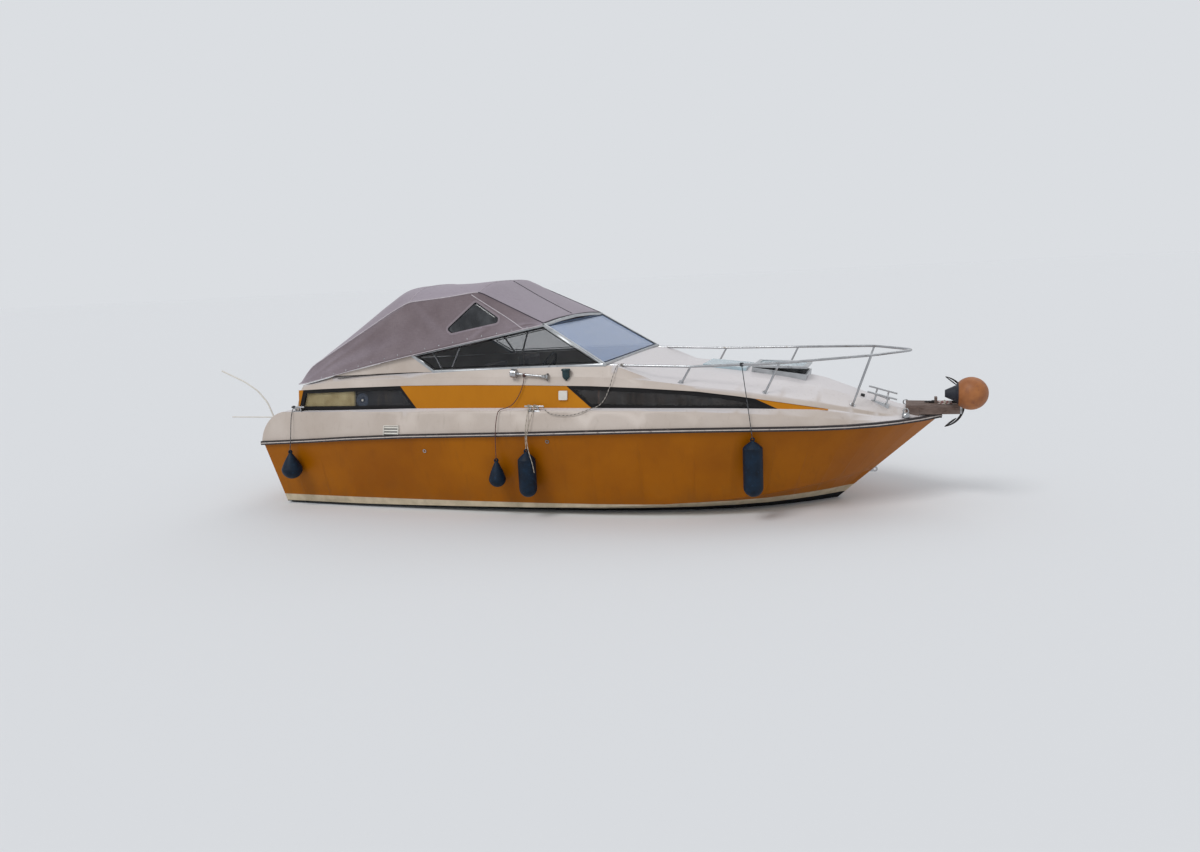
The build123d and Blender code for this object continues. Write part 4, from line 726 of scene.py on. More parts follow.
# Route of each line, from the end that is made fast
ROUTES = {
    "stern_lanyard": [
        (-3.128, -1.066, 1.078), (-3.125, -1.122, 1.036), (-3.113, -1.194, 0.728), (-3.112, -1.223, 0.638),
    ],
    "mid_lanyard_aft": [
        (-0.376, -1.085, 1.408), (-0.379, -1.097, 1.352), (-0.396, -1.108, 1.29), (-0.424, -1.117, 1.225),
        (-0.462, -1.127, 1.165), (-0.508, -1.141, 1.116), (-0.56, -1.168, 1.094), (-0.61, -1.194, 1.086),
        (-0.636, -1.214, 1.056), (-0.643, -1.288, 0.858), (-0.645, -1.288, 0.61),
    ],
    "mid_lanyard_fore": [
        (-0.305, -1.171, 1.11), (-0.312, -1.214, 1.064), (-0.322, -1.29, 0.858), (-0.318, -1.29, 0.71),
    ],
    "mid_lanyard_end": [
        (-0.245, -1.171, 1.11), (-0.262, -1.215, 1.062), (-0.3, -1.294, 0.864), (-0.297, -1.31, 0.8),
        (-0.283, -1.332, 0.742), (-0.262, -1.352, 0.682), (-0.241, -1.358, 0.62), (-0.228, -1.352, 0.555),
        (-0.222, -1.346, 0.49),
    ],
    "bow_lanyard": [(1.733, -0.857, 1.452), (1.846, -1.09, 0.893), (1.856, -1.104, 0.813)],
    "slack_line": [
        (0.588, -0.93, 1.474), (0.578, -0.962, 1.493), (0.566, -1.0, 1.492), (0.556, -1.032, 1.468),
        (0.546, -1.06, 1.425), (0.532, -1.086, 1.372), (0.514, -1.102, 1.31), (0.492, -1.114, 1.245),
        (0.462, -1.124, 1.182), (0.423, -1.137, 1.13), (0.372, -1.162, 1.1), (0.312, -1.198, 1.088),
        (0.244, -1.213, 1.06), (0.172, -1.218, 1.04), (0.098, -1.22, 1.032), (0.022, -1.22, 1.033),
        (-0.052, -1.217, 1.042), (-0.108, -1.208, 1.064), (-0.142, -1.19, 1.092), (-0.162, -1.174, 1.112),
    ],
}
# Each line's finish, far end and lay
LINE_FACTS = {
    "stern_lanyard": ("dark_rope", "object", "taut"),
    "mid_lanyard_aft": ("lanyard_rope", "object", "hanging"),
    "mid_lanyard_fore": ("mooring_rope", "object", "taut"),
    "mid_lanyard_end": ("mooring_rope", "bare", "hanging"),
    "bow_lanyard": ("dark_rope", "object", "taut"),
    "slack_line": ("fleck_rope", "object", "hanging"),
}
# Hitches on the lines: line, centre, bar's axis, radius of the turn, turns, pitch
HITCHES = [
    ("stern_lanyard", (-3.139, -1.06, 1.082), (1, 0, 0), 0.0135, 3.0, 0.0088),
    ("mid_lanyard_aft", (-0.389, -1.085, 1.4085), (1, 0, 0.107), 0.0145, 3.2, 0.0088),
    ("mid_lanyard_fore", (-0.325, -1.17, 1.113), (1, 0, 0), 0.0135, 4.0, 0.0088),
    ("mid_lanyard_end", (-0.262, -1.17, 1.113), (1, 0, 0), 0.0135, 4.0, 0.0088),
    ("bow_lanyard", (1.72, -0.8565, 1.4615), (1, -0.16, 0.01), 0.0168, 3.2, 0.0088),
    ("slack_line", (0.575, -0.9255, 1.4765), (1, 0, -0.03), 0.0168, 3.2, 0.0088),
]


def make_lines():
    """Lanyards and the slack line, each with its hitch round the bar that holds it."""
    for name, *turns in HITCHES:
        piece, _, _ = rope_shape(name + "_hitch", spline_points(wrap_points(*turns)), LINE_WIDTH, 0.004)
        finish_piece(piece, LINE_FACTS[name][0], name)
    for name, route in ROUTES.items():
        finish, far_end, lay = LINE_FACTS[name]
        piece, path, total = rope_shape(name + "_rope", spline_points(route), LINE_WIDTH)
        finish_piece(piece, finish, name, stands_for=(name,))


COIL_CENTRE = (3.545, -0.078)
COIL_REACH = (0.060, 0.040)
COIL_LOW = 0.9736
COIL_PITCH = 0.0087
# How much wider or narrower each turn lies, in metres, and its shift along the platform
COIL_TURNS = [(0.004, 0.0), (-0.003, 0.003), (0.002, -0.003)]
COIL_POINTS = 13
# Ties of the coil: place each side of its middle, height, half length, radius of a turn, thickness
TIE_SIDE = 0.0405
TIE_HEIGHT = 0.9842
TIE_HALF = 0.006
TIE_RADIUS = 0.0185
TIE_WIDTH = 0.005


def make_coil():
    """The float's line, laid in a small oval hank on the platform."""
    points = []
    for turn, (wider, shift) in enumerate(COIL_TURNS):
        for i in range(COIL_POINTS):
            share = turn + i / COIL_POINTS
            angle = 2 * math.pi * share
            points.append((
                COIL_CENTRE[0] + shift + (COIL_REACH[0] + wider) * math.cos(angle),
                COIL_CENTRE[1] + (COIL_REACH[1] + wider) * math.sin(angle), COIL_LOW + COIL_PITCH * share,
            ))
    piece, path, total = rope_shape("float_line_coil", spline_points(points), LINE_WIDTH)
    finish_piece(piece, "coil_rope", "float_coil", stands_for=("float_coil",))
    for k, side in enumerate((-1, 1)):
        centre = (COIL_CENTRE[0] - TIE_HALF, COIL_CENTRE[1] + side * TIE_SIDE, TIE_HEIGHT)
        route = spline_points(wrap_points(centre, (1, 0, 0), TIE_RADIUS, 2.0, TIE_HALF))
        tie, _, _ = rope_shape(f"coil_tie_{k}", route, TIE_WIDTH, 0.003)
        finish_piece(tie, "mooring_rope", "float_coil")


make_lines()
make_coil()


PIPE_STEPS = 8


def pipe(name, points, radius, material, like, sides=4, smooth=False):
    """A round bar or piping along points."""
    curve = bpy.data.curves.new(name, "CURVE")
    curve.dimensions = "3D"
    curve.bevel_depth = radius
    curve.bevel_resolution = sides
    curve.use_fill_caps = True
    spline = curve.splines.new("NURBS" if smooth else "POLY")
    spline.points.add(len(points) - 1)
    for point, place in zip(spline.points, points):
        point.co = (*place, 1)
    if smooth:
        spline.order_u = 3
        spline.use_endpoint_u = True
        spline.resolution_u = PIPE_STEPS
    route = bpy.data.objects.new(name, curve)
    bpy.context.scene.collection.objects.link(route)
    return finish_piece(settle(route), material, like)


def nodes_tree(name, inputs):
    """A Geometry Nodes tree with named number inputs; returns it with its group input and output."""
    tree = bpy.data.node_groups.new(name, "GeometryNodeTree")
    tree.interface.new_socket("Geometry", in_out="INPUT", socket_type="NodeSocketGeometry")
    tree.interface.new_socket("Geometry", in_out="OUTPUT", socket_type="NodeSocketGeometry")
    for title, value in inputs.items():
        tree.interface.new_socket(title, in_out="INPUT", socket_type="NodeSocketFloat").default_value = value
    return tree, tree.nodes.new("NodeGroupInput"), tree.nodes.new("NodeGroupOutput")


def row_along(name, path, facing, spacing, radius, height):
    """Steel heads, domed, spaced along a path on the canvas; facing gives their outward side."""
    tree, given, out = nodes_tree(name, {"Spacing": spacing, "Radius": radius, "Height": height})
    line = add(tree, "GeometryNodeMeshToCurve", {"Mesh": given.outputs["Geometry"]})
    even = add(tree, "GeometryNodeResampleCurve", {
        "Curve": line.outputs[0], "Length": given.outputs["Spacing"]}, mode="LENGTH")
    head = add(tree, "GeometryNodeMeshUVSphere", {"Segments": 10, "Rings": 6, "Radius": 1.0})
    size = add(tree, "ShaderNodeCombineXYZ", {
        "X": given.outputs["Radius"], "Y": given.outputs["Radius"], "Z": given.outputs["Height"]})
    sized = add(tree, "GeometryNodeTransform", {"Geometry": head.outputs["Mesh"], "Scale": size.outputs[0]})
    along = add(tree, "GeometryNodeInputTangent")
    turn = add(tree, "FunctionNodeAlignEulerToVector", {"Vector": along.outputs[0]}, axis="X")
    outward = add(tree, "GeometryNodeInputNamedAttribute", {"Name": "outward"}, data_type="FLOAT_VECTOR")
    stand = add(tree, "FunctionNodeAlignEulerToVector", {
        "Rotation": turn.outputs[0], "Vector": outward.outputs["Attribute"]}, axis="Z", pivot_axis="X")
    copies = add(tree, "GeometryNodeInstanceOnPoints", {
        "Points": even.outputs[0], "Instance": sized.outputs[0], "Rotation": stand.outputs[0]})
    real = add(tree, "GeometryNodeRealizeInstances", {"Geometry": copies.outputs[0]})
    paint = add(tree, "GeometryNodeSetMaterial", {
        "Geometry": real.outputs[0], "Material": FINISH["stainless"]})
    tree.links.new(paint.outputs[0], out.inputs[0])
    mesh = bpy.data.meshes.new(name)
    mesh.from_pydata([tuple(p) for p in path], [(i, i + 1) for i in range(len(path) - 1)], [])
    layer = mesh.attributes.new("outward", "FLOAT_VECTOR", "POINT")
    for cell, side in zip(layer.data, facing):
        cell.vector = side
    piece = keep(mesh, name)
    modifier = piece.modifiers.new("Row", "NODES")
    modifier.node_group = tree
    piece = settle(piece)
    piece.data.shade_smooth()
    return finish_piece(piece, None, "canopy")


# Canopy sections, the outer face: x, hem y, hem z, seam y, seam z, shoulder y, shoulder z, centre z
CANOPY = [
    (-3.120, 0.940, 1.318, 0.880, 1.335, 0.500, 1.392, 1.408),
    (-3.000, 0.962, 1.330, 0.860, 1.490, 0.500, 1.598, 1.625),
    (-2.660, 0.985, 1.408, 0.855, 1.676, 0.500, 1.822, 1.880),
    (-2.220, 0.995, 1.505, 0.850, 1.909, 0.500, 2.108, 2.160),
    (-1.950, 0.992, 1.560, 0.842, 2.058, 0.500, 2.270, 2.306),
    (-1.740, 0.990, 1.602, 0.835, 2.156, 0.500, 2.282, 2.314),
    (-1.300, 0.985, 1.684, 0.830, 2.190, 0.500, 2.296, 2.326),
    (-0.930, 0.978, 1.752, 0.826, 2.236, 0.500, 2.318, 2.336),
    (-0.215, 0.930, 1.888, 0.895, 1.902, 0.500, 1.925, 1.932),
]
CANOPY_HOOPS = (-1.745, -0.935)
# Half width of the bend over a hoop, sag of the top, hollow of the sides, thickness and mesh step, in metres
CANOPY_SOFTEN = 0.045
CANOPY_SAG = 0.011
CANOPY_HOLLOW = 0.012
CANOPY_THICK = 0.002
CANOPY_STEP = 0.018
SIDE_STEPS = 22
TOP_STEPS = 34
# How far slow waves of the cloth reach, on the sides and on the top
SIDE_WAVE = 0.0022
TOP_WAVE = 0.003
# Pulls in the cloth of the side: start and end as x and share from hem to seam, width and height in metres
CANOPY_FOLDS = [
    (-2.95, 0.25, -1.75, 0.28, 0.070, 0.010), (-2.80, 0.55, -1.90, 0.90, 0.060, 0.006),
    (-1.05, 0.04, -0.86, 0.30, 0.020, -0.005), (-0.99, 0.02, -0.78, 0.28, 0.018, 0.005),
    (-1.70, 0.95, -1.45, 0.35, 0.045, 0.007), (-1.62, 0.96, -1.25, 0.20, 0.040, -0.005),
    (-3.05, 0.20, -2.55, 0.75, 0.050, 0.007), (-0.60, 0.10, -0.25, 0.50, 0.030, 0.005),
    (-2.20, 0.05, -1.95, 0.60, 0.050, -0.005),
]
# Corners of the side windows, as x and z, and the radius of their rounding
CANOPY_WINDOW = [(-1.283, 1.866), (-0.960, 2.138), (-0.700, 1.970), (-0.700, 1.918), (-1.218, 1.824)]
WINDOW_ROUND = 0.030
ROUND_STEPS = 7
PANE_THICK = 0.001
PANE_BEHIND = 0.003
# How far from the middle the cutter of the windows starts and ends
CUT_FROM = 0.6
CUT_TO = 1.3
# The bound edge's lanes as how far outside the cut-out they are, and how far out of the cloth
BINDING_LANES = [(-0.003, 0.0004), (-0.003, 0.0022), (0.019, 0.0022), (0.019, 0.0002)]
# Rings of a pane, as shares of its outline
PANE_RINGS = (1.0, 0.8, 0.6, 0.4, 0.2)
PANE_UNDER = 0.006


def canopy_row(x):
    """The section's sizes at x: straight between the rows, softened over the hoops."""
    def plain(at):
        at = min(max(at, CANOPY[0][0]), CANOPY[-1][0])
        for low, high in zip(CANOPY, CANOPY[1:]):
            if at <= high[0]:
                share = (at - low[0]) / (high[0] - low[0])
                return [a + (b - a) * share for a, b in zip(low[1:], high[1:])]

    room = min(1.0, (x - CANOPY[0][0]) / (2 * CANOPY_SOFTEN), (CANOPY[-1][0] - x) / (2 * CANOPY_SOFTEN))
    parts = []
    for k in range(-4, 5):
        weight = math.exp(-(k / 2) ** 2 / 2)
        parts.append((weight, plain(x + k / 2 * CANOPY_SOFTEN * room)))
    total = sum(weight for weight, _ in parts)
    return [sum(weight * row[i] for weight, row in parts) / total for i in range(7)]


def hermite(points, share):
    """A point on the smooth curve through evenly counted points, as (y, z)."""
    count = len(points) - 1
    k = min(count - 1, int(share * count))
    t = share * count - k

    def slope(i):
        low, high = points[max(0, i - 1)], points[min(count, i + 1)]
        wide = min(count, i + 1) - max(0, i - 1)
        return [(b - a) / wide for a, b in zip(low, high)]

    a, b, ma, mb = points[k], points[k + 1], slope(k), slope(k + 1)
    return [
        (2 * t**3 - 3 * t**2 + 1) * p + (t**3 - 2 * t**2 + t) * m
        + (3 * t**2 - 2 * t**3) * q + (t**3 - t**2) * n
        for p, m, q, n in zip(a, ma, b, mb)
    ]


def between_hoops(x):
    """How far the cloth is from what holds it up, from 0 at a hoop or an end to 1 midway."""
    marks = [CANOPY[0][0], *CANOPY_HOOPS, CANOPY[-1][0]]
    for low, high in zip(marks, marks[1:]):
        if low <= x <= high:
            return math.sin(math.pi * (x - low) / (high - low))
    return 0.0


def side_point(x, share):
    """A point of the starboard side, share 0 at the hem and 1 at the ridge."""
    hem_y, hem_z, seam_y, seam_z = canopy_row(x)[:4]
    high = seam_z - hem_z
    place = Vector((x, -(hem_y + (seam_y - hem_y) * share), hem_z + high * share))
    away = Vector((0, -high, seam_y - hem_y)).normalized() if high > 1e-4 else Vector((0, -1, 0))
    calm = min(1, high / 0.3)
    inward = CANOPY_HOLLOW * math.sin(math.pi * share) * (0.35 + 0.65 * between_hoops(x)) * calm
    folds = 0.0
    for x0, s0, x1, s1, width, height in CANOPY_FOLDS:
        start, end = Vector((x0, s0 * 0.5)), Vector((x1, s1 * 0.5))
        here, run = Vector((x, share * 0.5)), end - start
        along = (here - start).dot(run) / run.length_squared
        if 0 < along < 1:
            off = (here - start - run * along).length / width
            folds += height * math.exp(-off * off) * math.sin(math.pi * along) ** 0.7
    drift = SIDE_WAVE * noise.noise(Vector((x * 5, share * 2.6, 3.1))) * calm
    edge = min(1.0, share / 0.05, (1 - share) / 0.05)
    return place + away * ((folds + drift) * edge - inward)


def top_point(x, share):
    """A point of the top, share 0 at the starboard ridge and 1 at the port one."""
    _, _, seam_y, seam_z, shoulder_y, shoulder_z, centre_z = canopy_row(x)
    half = [(seam_y, seam_z), (shoulder_y, shoulder_z)]
    across = [(-y, z) for y, z in half] + [(0, centre_z)] + half[::-1]
    y, z = hermite(across, share)
    edge = math.sin(math.pi * share)
    drop = CANOPY_SAG * between_hoops(x) * edge
    drift = TOP_WAVE * noise.noise(Vector((x * 4, share * 5, 8.4))) * edge * min(1, between_hoops(x) * 3)
    return Vector((x, y, z - drop + drift))


def mirrored(point, side):
    """A starboard point as it is for side -1, and on the port side for side 1."""
    return Vector((point.x, -side * point.y, point.z))


def make_canopy():
    """Acrylic canvas over two hoops: one continuous sheet, its windows cut out, with piping on its ridges."""
    start, end = CANOPY[0][0], CANOPY[-1][0]
    columns = round((end - start) / CANOPY_STEP)
    shape = bmesh.new()
    grid = []
    for i in range(columns + 1):
        x = start + (end - start) * i / columns
        side = [side_point(x, j / SIDE_STEPS) for j in range(SIDE_STEPS)]
        top = [top_point(x, j / TOP_STEPS) for j in range(TOP_STEPS + 1)]
        grid.append([shape.verts.new(p) for p in side + top + [mirrored(p, 1) for p in reversed(side)]])
    area = 0.0
    for first, second in zip(grid, grid[1:]):
        for a, b, c, d in zip(first, second, second[1:], first[1:]):
            area += shape.faces.new((a, b, c, d)).calc_area()
    ridge = [[line[k].co.copy() for line in grid] for k in (SIDE_STEPS, SIDE_STEPS + TOP_STEPS)]
    hems = [[line[k].co.copy() for line in grid] for k in (0, -1)]
    aft = [v.co.copy() for v in grid[0]]
    fore = [v.co.copy() for v in grid[-1]]
    piece = from_bmesh(shape, "canopy_sheet", 50)
    thick = piece.modifiers.new("Cloth", "SOLIDIFY")
    thick.thickness = CANOPY_THICK
    thick.offset = -1
    cut = cut_prism()
    hole = piece.modifiers.new("Windows", "BOOLEAN")
    hole.object = cut
    hole.operation = "DIFFERENCE"
    hole.solver = "EXACT"
    piece = settle(piece)
    bpy.data.objects.remove(cut)
    finish_piece(piece, "canopy_fabric", "canopy", stands_for=("canopy",))
    trims = canopy_trims(ridge, hems, aft, fore)


def rounded_window(grow=0.0):
    """The window's outline as (x, z), its corners round, moved out by grow."""
    points = [Vector(p) for p in CANOPY_WINDOW]
    middle = sum(points, Vector((0, 0))) / len(points)
    outline = []
    for k, corner in enumerate(points):
        before, after = points[k - 1] - corner, points[(k + 1) % len(points)] - corner
        half = before.angle(after) / 2
        reach = min(WINDOW_ROUND / math.tan(half), 0.45 * min(before.length, after.length))
        radius = reach * math.tan(half)
        centre = corner + (before.normalized() + after.normalized()).normalized() * radius / math.sin(half)
        first = corner + before.normalized() * reach - centre
        last = corner + after.normalized() * reach - centre
        sweep = first.angle_signed(last)
        for i in range(ROUND_STEPS + 1):
            arm = Matrix.Rotation(-sweep * i / ROUND_STEPS, 2) @ first
            outline.append(centre + arm * (radius + grow) / radius)
    return outline, middle


def cut_prism():
    """A prism through both sides of the canopy in the windows' outline."""
    outline, _ = rounded_window()
    shape = bmesh.new()
    for low, high in ((-CUT_TO, -CUT_FROM), (CUT_FROM, CUT_TO)):
        near = [shape.verts.new((x, low, z)) for x, z in outline]
        far = [shape.verts.new((x, high, z)) for x, z in outline]
        shape.faces.new(near)
        shape.faces.new(list(reversed(far)))
        for k in range(len(outline)):
            j = (k + 1) % len(outline)
            shape.faces.new((near[j], near[k], far[k], far[j]))
    return from_bmesh(shape, "window_cutter")


def on_side(x, z, out=0.0):
    """The point of the canopy's starboard side at x and z, moved outwards."""
    hem_z, seam_z = canopy_row(x)[1], canopy_row(x)[3]
    share = (z - hem_z) / (seam_z - hem_z)
    return side_point(x, share) + Vector((0, -out, out * 0.2))


def window_panes():
    """Tinted PVC panes behind the cut-outs, each with a bound edge standing proud of the canvas."""
    outline, middle = rounded_window(PANE_UNDER)
    shape = bmesh.new()
    for side in (-1, 1):
        rings = []
        for share in PANE_RINGS:
            ring = []
            for point in outline:
                x, z = middle + (point - middle) * share
                place = on_side(x, z, -PANE_BEHIND)
                ring.append(shape.verts.new(mirrored(place, side)))
            rings.append(ring)
        heart = shape.verts.new(mirrored(on_side(*middle, -PANE_BEHIND), side))
        for first, second in zip(rings, rings[1:]):
            for k in range(len(first)):
                j = (k + 1) % len(first)
                shape.faces.new((first[k], first[j], second[j], second[k]))
        for k in range(len(rings[-1])):
            shape.faces.new((rings[-1][k], rings[-1][(k + 1) % len(rings[-1])], heart))
    piece = from_bmesh(shape, "canopy_panes", 40)
    thick = piece.modifiers.new("Pane", "SOLIDIFY")
    thick.thickness = PANE_THICK
    piece = settle(piece)
    finish_piece(piece, "canopy_clear", "canopy_windows", stands_for=("canopy_windows",))
    shape = bmesh.new()
    for side in (-1, 1):
        lanes = []
        for grow, out in BINDING_LANES:
            lane = rounded_window(grow)[0]
            lanes.append([shape.verts.new(mirrored(on_side(x, z, out), side)) for x, z in lane])
        for first, second in zip(lanes, lanes[1:] + lanes[:1]):
            for k in range(len(first)):
                j = (k + 1) % len(first)
                shape.faces.new((first[k], first[j], second[j], second[k]))
    finish_piece(from_bmesh(shape, "window_binding", 40), "canopy_band", "canopy")


# Radii of the canopy's trims: piping and zips of ridge, corner and top, bindings, thread seam
PIPING = 0.0055
ZIP = 0.0048
CORNER_PIPING = 0.005
MIDDLE_ZIP = 0.005
BINDING = 0.0045
SCREEN_BINDING = 0.006
SEAM = 0.0028
# The ridge has piping aft of here, and a zip ahead of it
ZIP_FROM = -0.94
# Lower seam of the fore corner, from the ridge over the hoop down to the hem: start and run in x and z
CORNER_START = (-1.01, 2.206)
CORNER_RUN = (0.62, -0.372)
CORNER_STEPS = 24
# Zip along the middle of the top: start and run in x, steps
TOP_ZIP = (-0.90, 0.66, 30)
SEAM_STEPS = 40
# Press studs and zip teeth: spacing, radius, height
STUDS = (0.16, 0.0075, 0.004)
TEETH = (0.022, 0.0045, 0.003)
STUD_SHARE = 0.07


def canopy_trims(ridge, hems, aft, fore):
    """Piping on the ridges, bound hems, zips across the top and snap heads along the hem."""
    trims = []
    for k, side in enumerate((-1, 1)):
        lifted = [p + Vector((0, side * 0.0015, 0.002)) for p in ridge[k]]
        split = next(i for i, p in enumerate(lifted) if p.x > ZIP_FROM)
        trims.append(pipe(f"ridge_piping_{k}", lifted[:split + 1], PIPING, "welt", "canopy"))
        trims.append(pipe(f"ridge_zip_{k}", lifted[split:], ZIP, "dark_welt", "canopy"))
    for k, side in enumerate((-1, 1)):
        bound = [p + Vector((0, side * 0.001, 0.001)) for p in hems[k]]
        trims.append(pipe(f"hem_binding_{k}", bound, BINDING, "welt", "canopy"))
        facing = [Vector((0, side, 0.15)).normalized()] * len(bound)
        studs = [mirrored(side_point(p.x, STUD_SHARE), side) + Vector((0, side * 0.001, 0)) for p in hems[k]]
        trims.append(row_along(f"hem_snaps_{k}", studs, facing, *STUDS))
    bound = [p + Vector((-0.001, 0, 0.001)) for p in aft]
    trims.append(pipe("aft_binding", bound, BINDING, "welt", "canopy"))
    bound = [p + Vector((0.002, 0, 0.002)) for p in fore]
    trims.append(pipe("screen_binding", bound, SCREEN_BINDING, "dark_welt", "canopy"))
    for k, side in enumerate((-1, 1)):
        seam = []
        for i in range(CORNER_STEPS + 1):
            x, z = (start + run * i / CORNER_STEPS for start, run in zip(CORNER_START, CORNER_RUN))
            hem_z, seam_z = canopy_row(x)[1], canopy_row(x)[3]
            point = side_point(x, min(0.98, max(0.02, (z - hem_z) / (seam_z - hem_z))))
            seam.append(mirrored(point, side) + Vector((0, side * 0.002, 0.001)))
        trims.append(pipe(f"corner_piping_{k}", seam, CORNER_PIPING, "welt", "canopy"))
    start, run, steps = TOP_ZIP
    middle = [top_point(start + run * i / steps, 0.5) + Vector((0, 0, 0.002)) for i in range(steps + 1)]
    trims.append(pipe("top_zip", middle, MIDDLE_ZIP, "dark_welt", "canopy"))
    teeth = [p + Vector((0, 0, 0.004)) for p in middle]
    trims.append(row_along("top_zip_teeth", teeth, [Vector((0, 0, 1))] * len(teeth), *TEETH))
    for name, x in zip(("aft_hoop_seam", "fore_hoop_seam"), CANOPY_HOOPS):
        across = [top_point(x, i / SEAM_STEPS) + Vector((0, 0, 0.0012)) for i in range(SEAM_STEPS + 1)]
        trims.append(pipe(name, across, SEAM, "welt", "canopy"))
    return trims


make_canopy()
window_panes()

# Nodes whose shape is right: edge rounding in mm and shading angle
PLAIN = {
    "rub_rail": (0, 40), "rub_rail_insert": (0, 40), "side_stripes": (0, 30), "side_window_frames": (0, 35),
    "cabin_bulkhead": (0, 30), "cabin_door": (1.5, 30), "berth_base": (0, 30), "helm_console": (4.0, 30),
    "steering_column": (1.0, 40), "steering_wheel": (0, 50), "bench_box": (3.0, 30),
    "engine_hatch": (2.0, 30), "engine_block": (12.0, 30), "engine_beds": (2.0, 30), "seats": (2.5, 30),
    "windscreen_frame": (0, 30), "quarter_panels": (0, 30), "canopy_hoops": (0, 40),
    "hatch_frame": (1.5, 30), "hatch_lid": (2.0, 30), "hatch_pane": (0, 30), "deck_panel": (1.5, 30),
    "bow_rail": (0, 40), "bow_cleats": (0, 40), "side_cleats": (0, 40), "bow_platform": (1.2, 30),
    "roller_cheeks": (1.0, 30), "bow_roller": (0, 40), "anchor": (0, 35), "ball_float": (0, 45),
    "transom_shield": (3.0, 30), "drive_yoke": (3.0, 30), "drive_leg": (3.0, 35), "propeller": (0, 40),
    "horn": (0, 45), "side_lamps": (0, 40), "stern_pole": (0, 40), "stern_fender": (0, 45),
    "mid_fender_aft": (0, 45), "mid_fender_fore": (0, 45), "bow_fender": (0, 45), "cockpit_liner": (0, 30),
}
for node, (edge_mm, smooth_deg) in PLAIN.items():
    dress(node, edge_mm, smooth_deg)

# Cloth of the pads: mass, stiffness against stretch and bend, pressure, steps, and depth of the pinned foot
CLOTH_MASS = 0.3
CLOTH_STRETCH = 20
CLOTH_BEND = 2
CLOTH_PRESSURE = 4
CLOTH_FRAMES = 20
PIN_DEPTH = 0.012


def swell(piece, rest_axis, cap):
    """Cloth under pressure, pinned where the pad rests, each point moved by cap at most."""
    rest = [v.co.copy() for v in piece.data.vertices]
    low = min(p[rest_axis] for p in rest)
    pins = piece.vertex_groups.new(name="Pins")
    pins.add([i for i, p in enumerate(rest) if p[rest_axis] < low + PIN_DEPTH], 1.0, "REPLACE")
    cloth = piece.modifiers.new("Cloth", "CLOTH")
    cloth.settings.quality = 4
    cloth.settings.mass = CLOTH_MASS
    cloth.settings.tension_stiffness = CLOTH_STRETCH
    cloth.settings.compression_stiffness = CLOTH_STRETCH
    cloth.settings.bending_stiffness = CLOTH_BEND
    cloth.settings.use_pressure = True
    cloth.settings.uniform_pressure_force = CLOTH_PRESSURE
    cloth.settings.vertex_group_mass = "Pins"
    cloth.settings.effector_weights.gravity = 0
    cloth.collision_settings.use_collision = False
    scene = bpy.context.scene
    for k in range(1, CLOTH_FRAMES + 1):
        scene.frame_set(k)
    graph = bpy.context.evaluated_depsgraph_get()
    moved = [v.co.copy() for v in piece.evaluated_get(graph).data.vertices]
    piece.modifiers.clear()
    scene.frame_set(1)
    for vert, old, new in zip(piece.data.vertices, rest, moved):
        step = new - old
        vert.co = old + (step if step.length < cap else step.normalized() * cap)


# Node: voxel in metres, how far the pad starts inside its space, cap, fill, channel spacing
PADS = {
    "seat_cushions": (0.011, 0.010, 0.016, 0.7, 0.094),
    "bench_cushion": (0.012, 0.010, 0.016, 0.7, 0.3105),
    "berth_cushion": (0.024, 0.014, 0.022, 0.6, 0.0),
}
CHANNEL_DEPTH = 0.008
CHANNEL_HALF = 0.009
# Channels closer than this also have one down the middle
CHANNEL_CLOSE = 0.1
# Welt: radius, share of it outside the cover, height on the pad's side, points round it
WELT_RADIUS = 0.005
WELT_OUT = 0.3
WELT_HEIGHT = 0.62
WELT_POINTS = 96
# How far inside its CAD solid a pad starts, and how far above it may stand
PAD_INSIDE = 0.0004
PAD_PROUD = 0.004


def make_pads(node, voxel, inset, cap, fill, channel):
    """Foam pads in sewn covers, swollen by cloth simulation, with channels and a welt round the edge."""
    shape = node_shape(node)
    bodies = [[(v.co.copy(), v.index) for v in island] for island in islands(shape)]
    bodies.sort(key=lambda body: tuple(round(c, 3) for c in min(tuple(co) for co, _ in body)))
    shape.verts.ensure_lookup_table()
    spaces = []
    for body in bodies:
        low, high = span(co for co, _ in body)
        middle, size = (low + high) / 2, high - low
        flat = min(range(3), key=lambda i: size[i])
        spaces.append((low, high, flat))
        for co, index in body:
            for i in range(3):
                scale = 1 - (2 * inset if i != flat else inset) / size[i]
                fixed = low[i] if i == flat else middle[i]
                shape.verts[index].co[i] = fixed + (co[i] - fixed) * scale
    for count, (low, high, flat) in enumerate(spaces):
        part = bmesh.new()
        copies = {}
        for vert in shape.verts:
            if all(low[i] - 0.001 <= vert.co[i] <= high[i] + 0.001 for i in range(3)):
                copies[vert.index] = part.verts.new(vert.co)
        for face in shape.faces:
            if all(v.index in copies for v in face.verts):
                part.faces.new([copies[v.index] for v in face.verts])
        pad = from_bmesh(part, f"{node}_pad_{count}")
        remesh = pad.modifiers.new("Voxels", "REMESH")
        remesh.mode = "VOXEL"
        remesh.voxel_size = voxel
        pad = settle(pad)
        swell(pad, flat, cap)
        if channel:
            sew_channels(pad, low, high, flat, channel)
        finer = pad.modifiers.new("Finer", "SUBSURF")
        finer.levels = finer.render_levels = 1
        pad = settle(pad)
        keep_inside(pad, low, high)
        pad.data.shade_smooth()
        finish_piece(pad, SLOT_OF[node], node, stands_for=(node,))
        edge_welt(pad, low, high, flat, f"{node}_welt_{count}", node)
    shape.free()


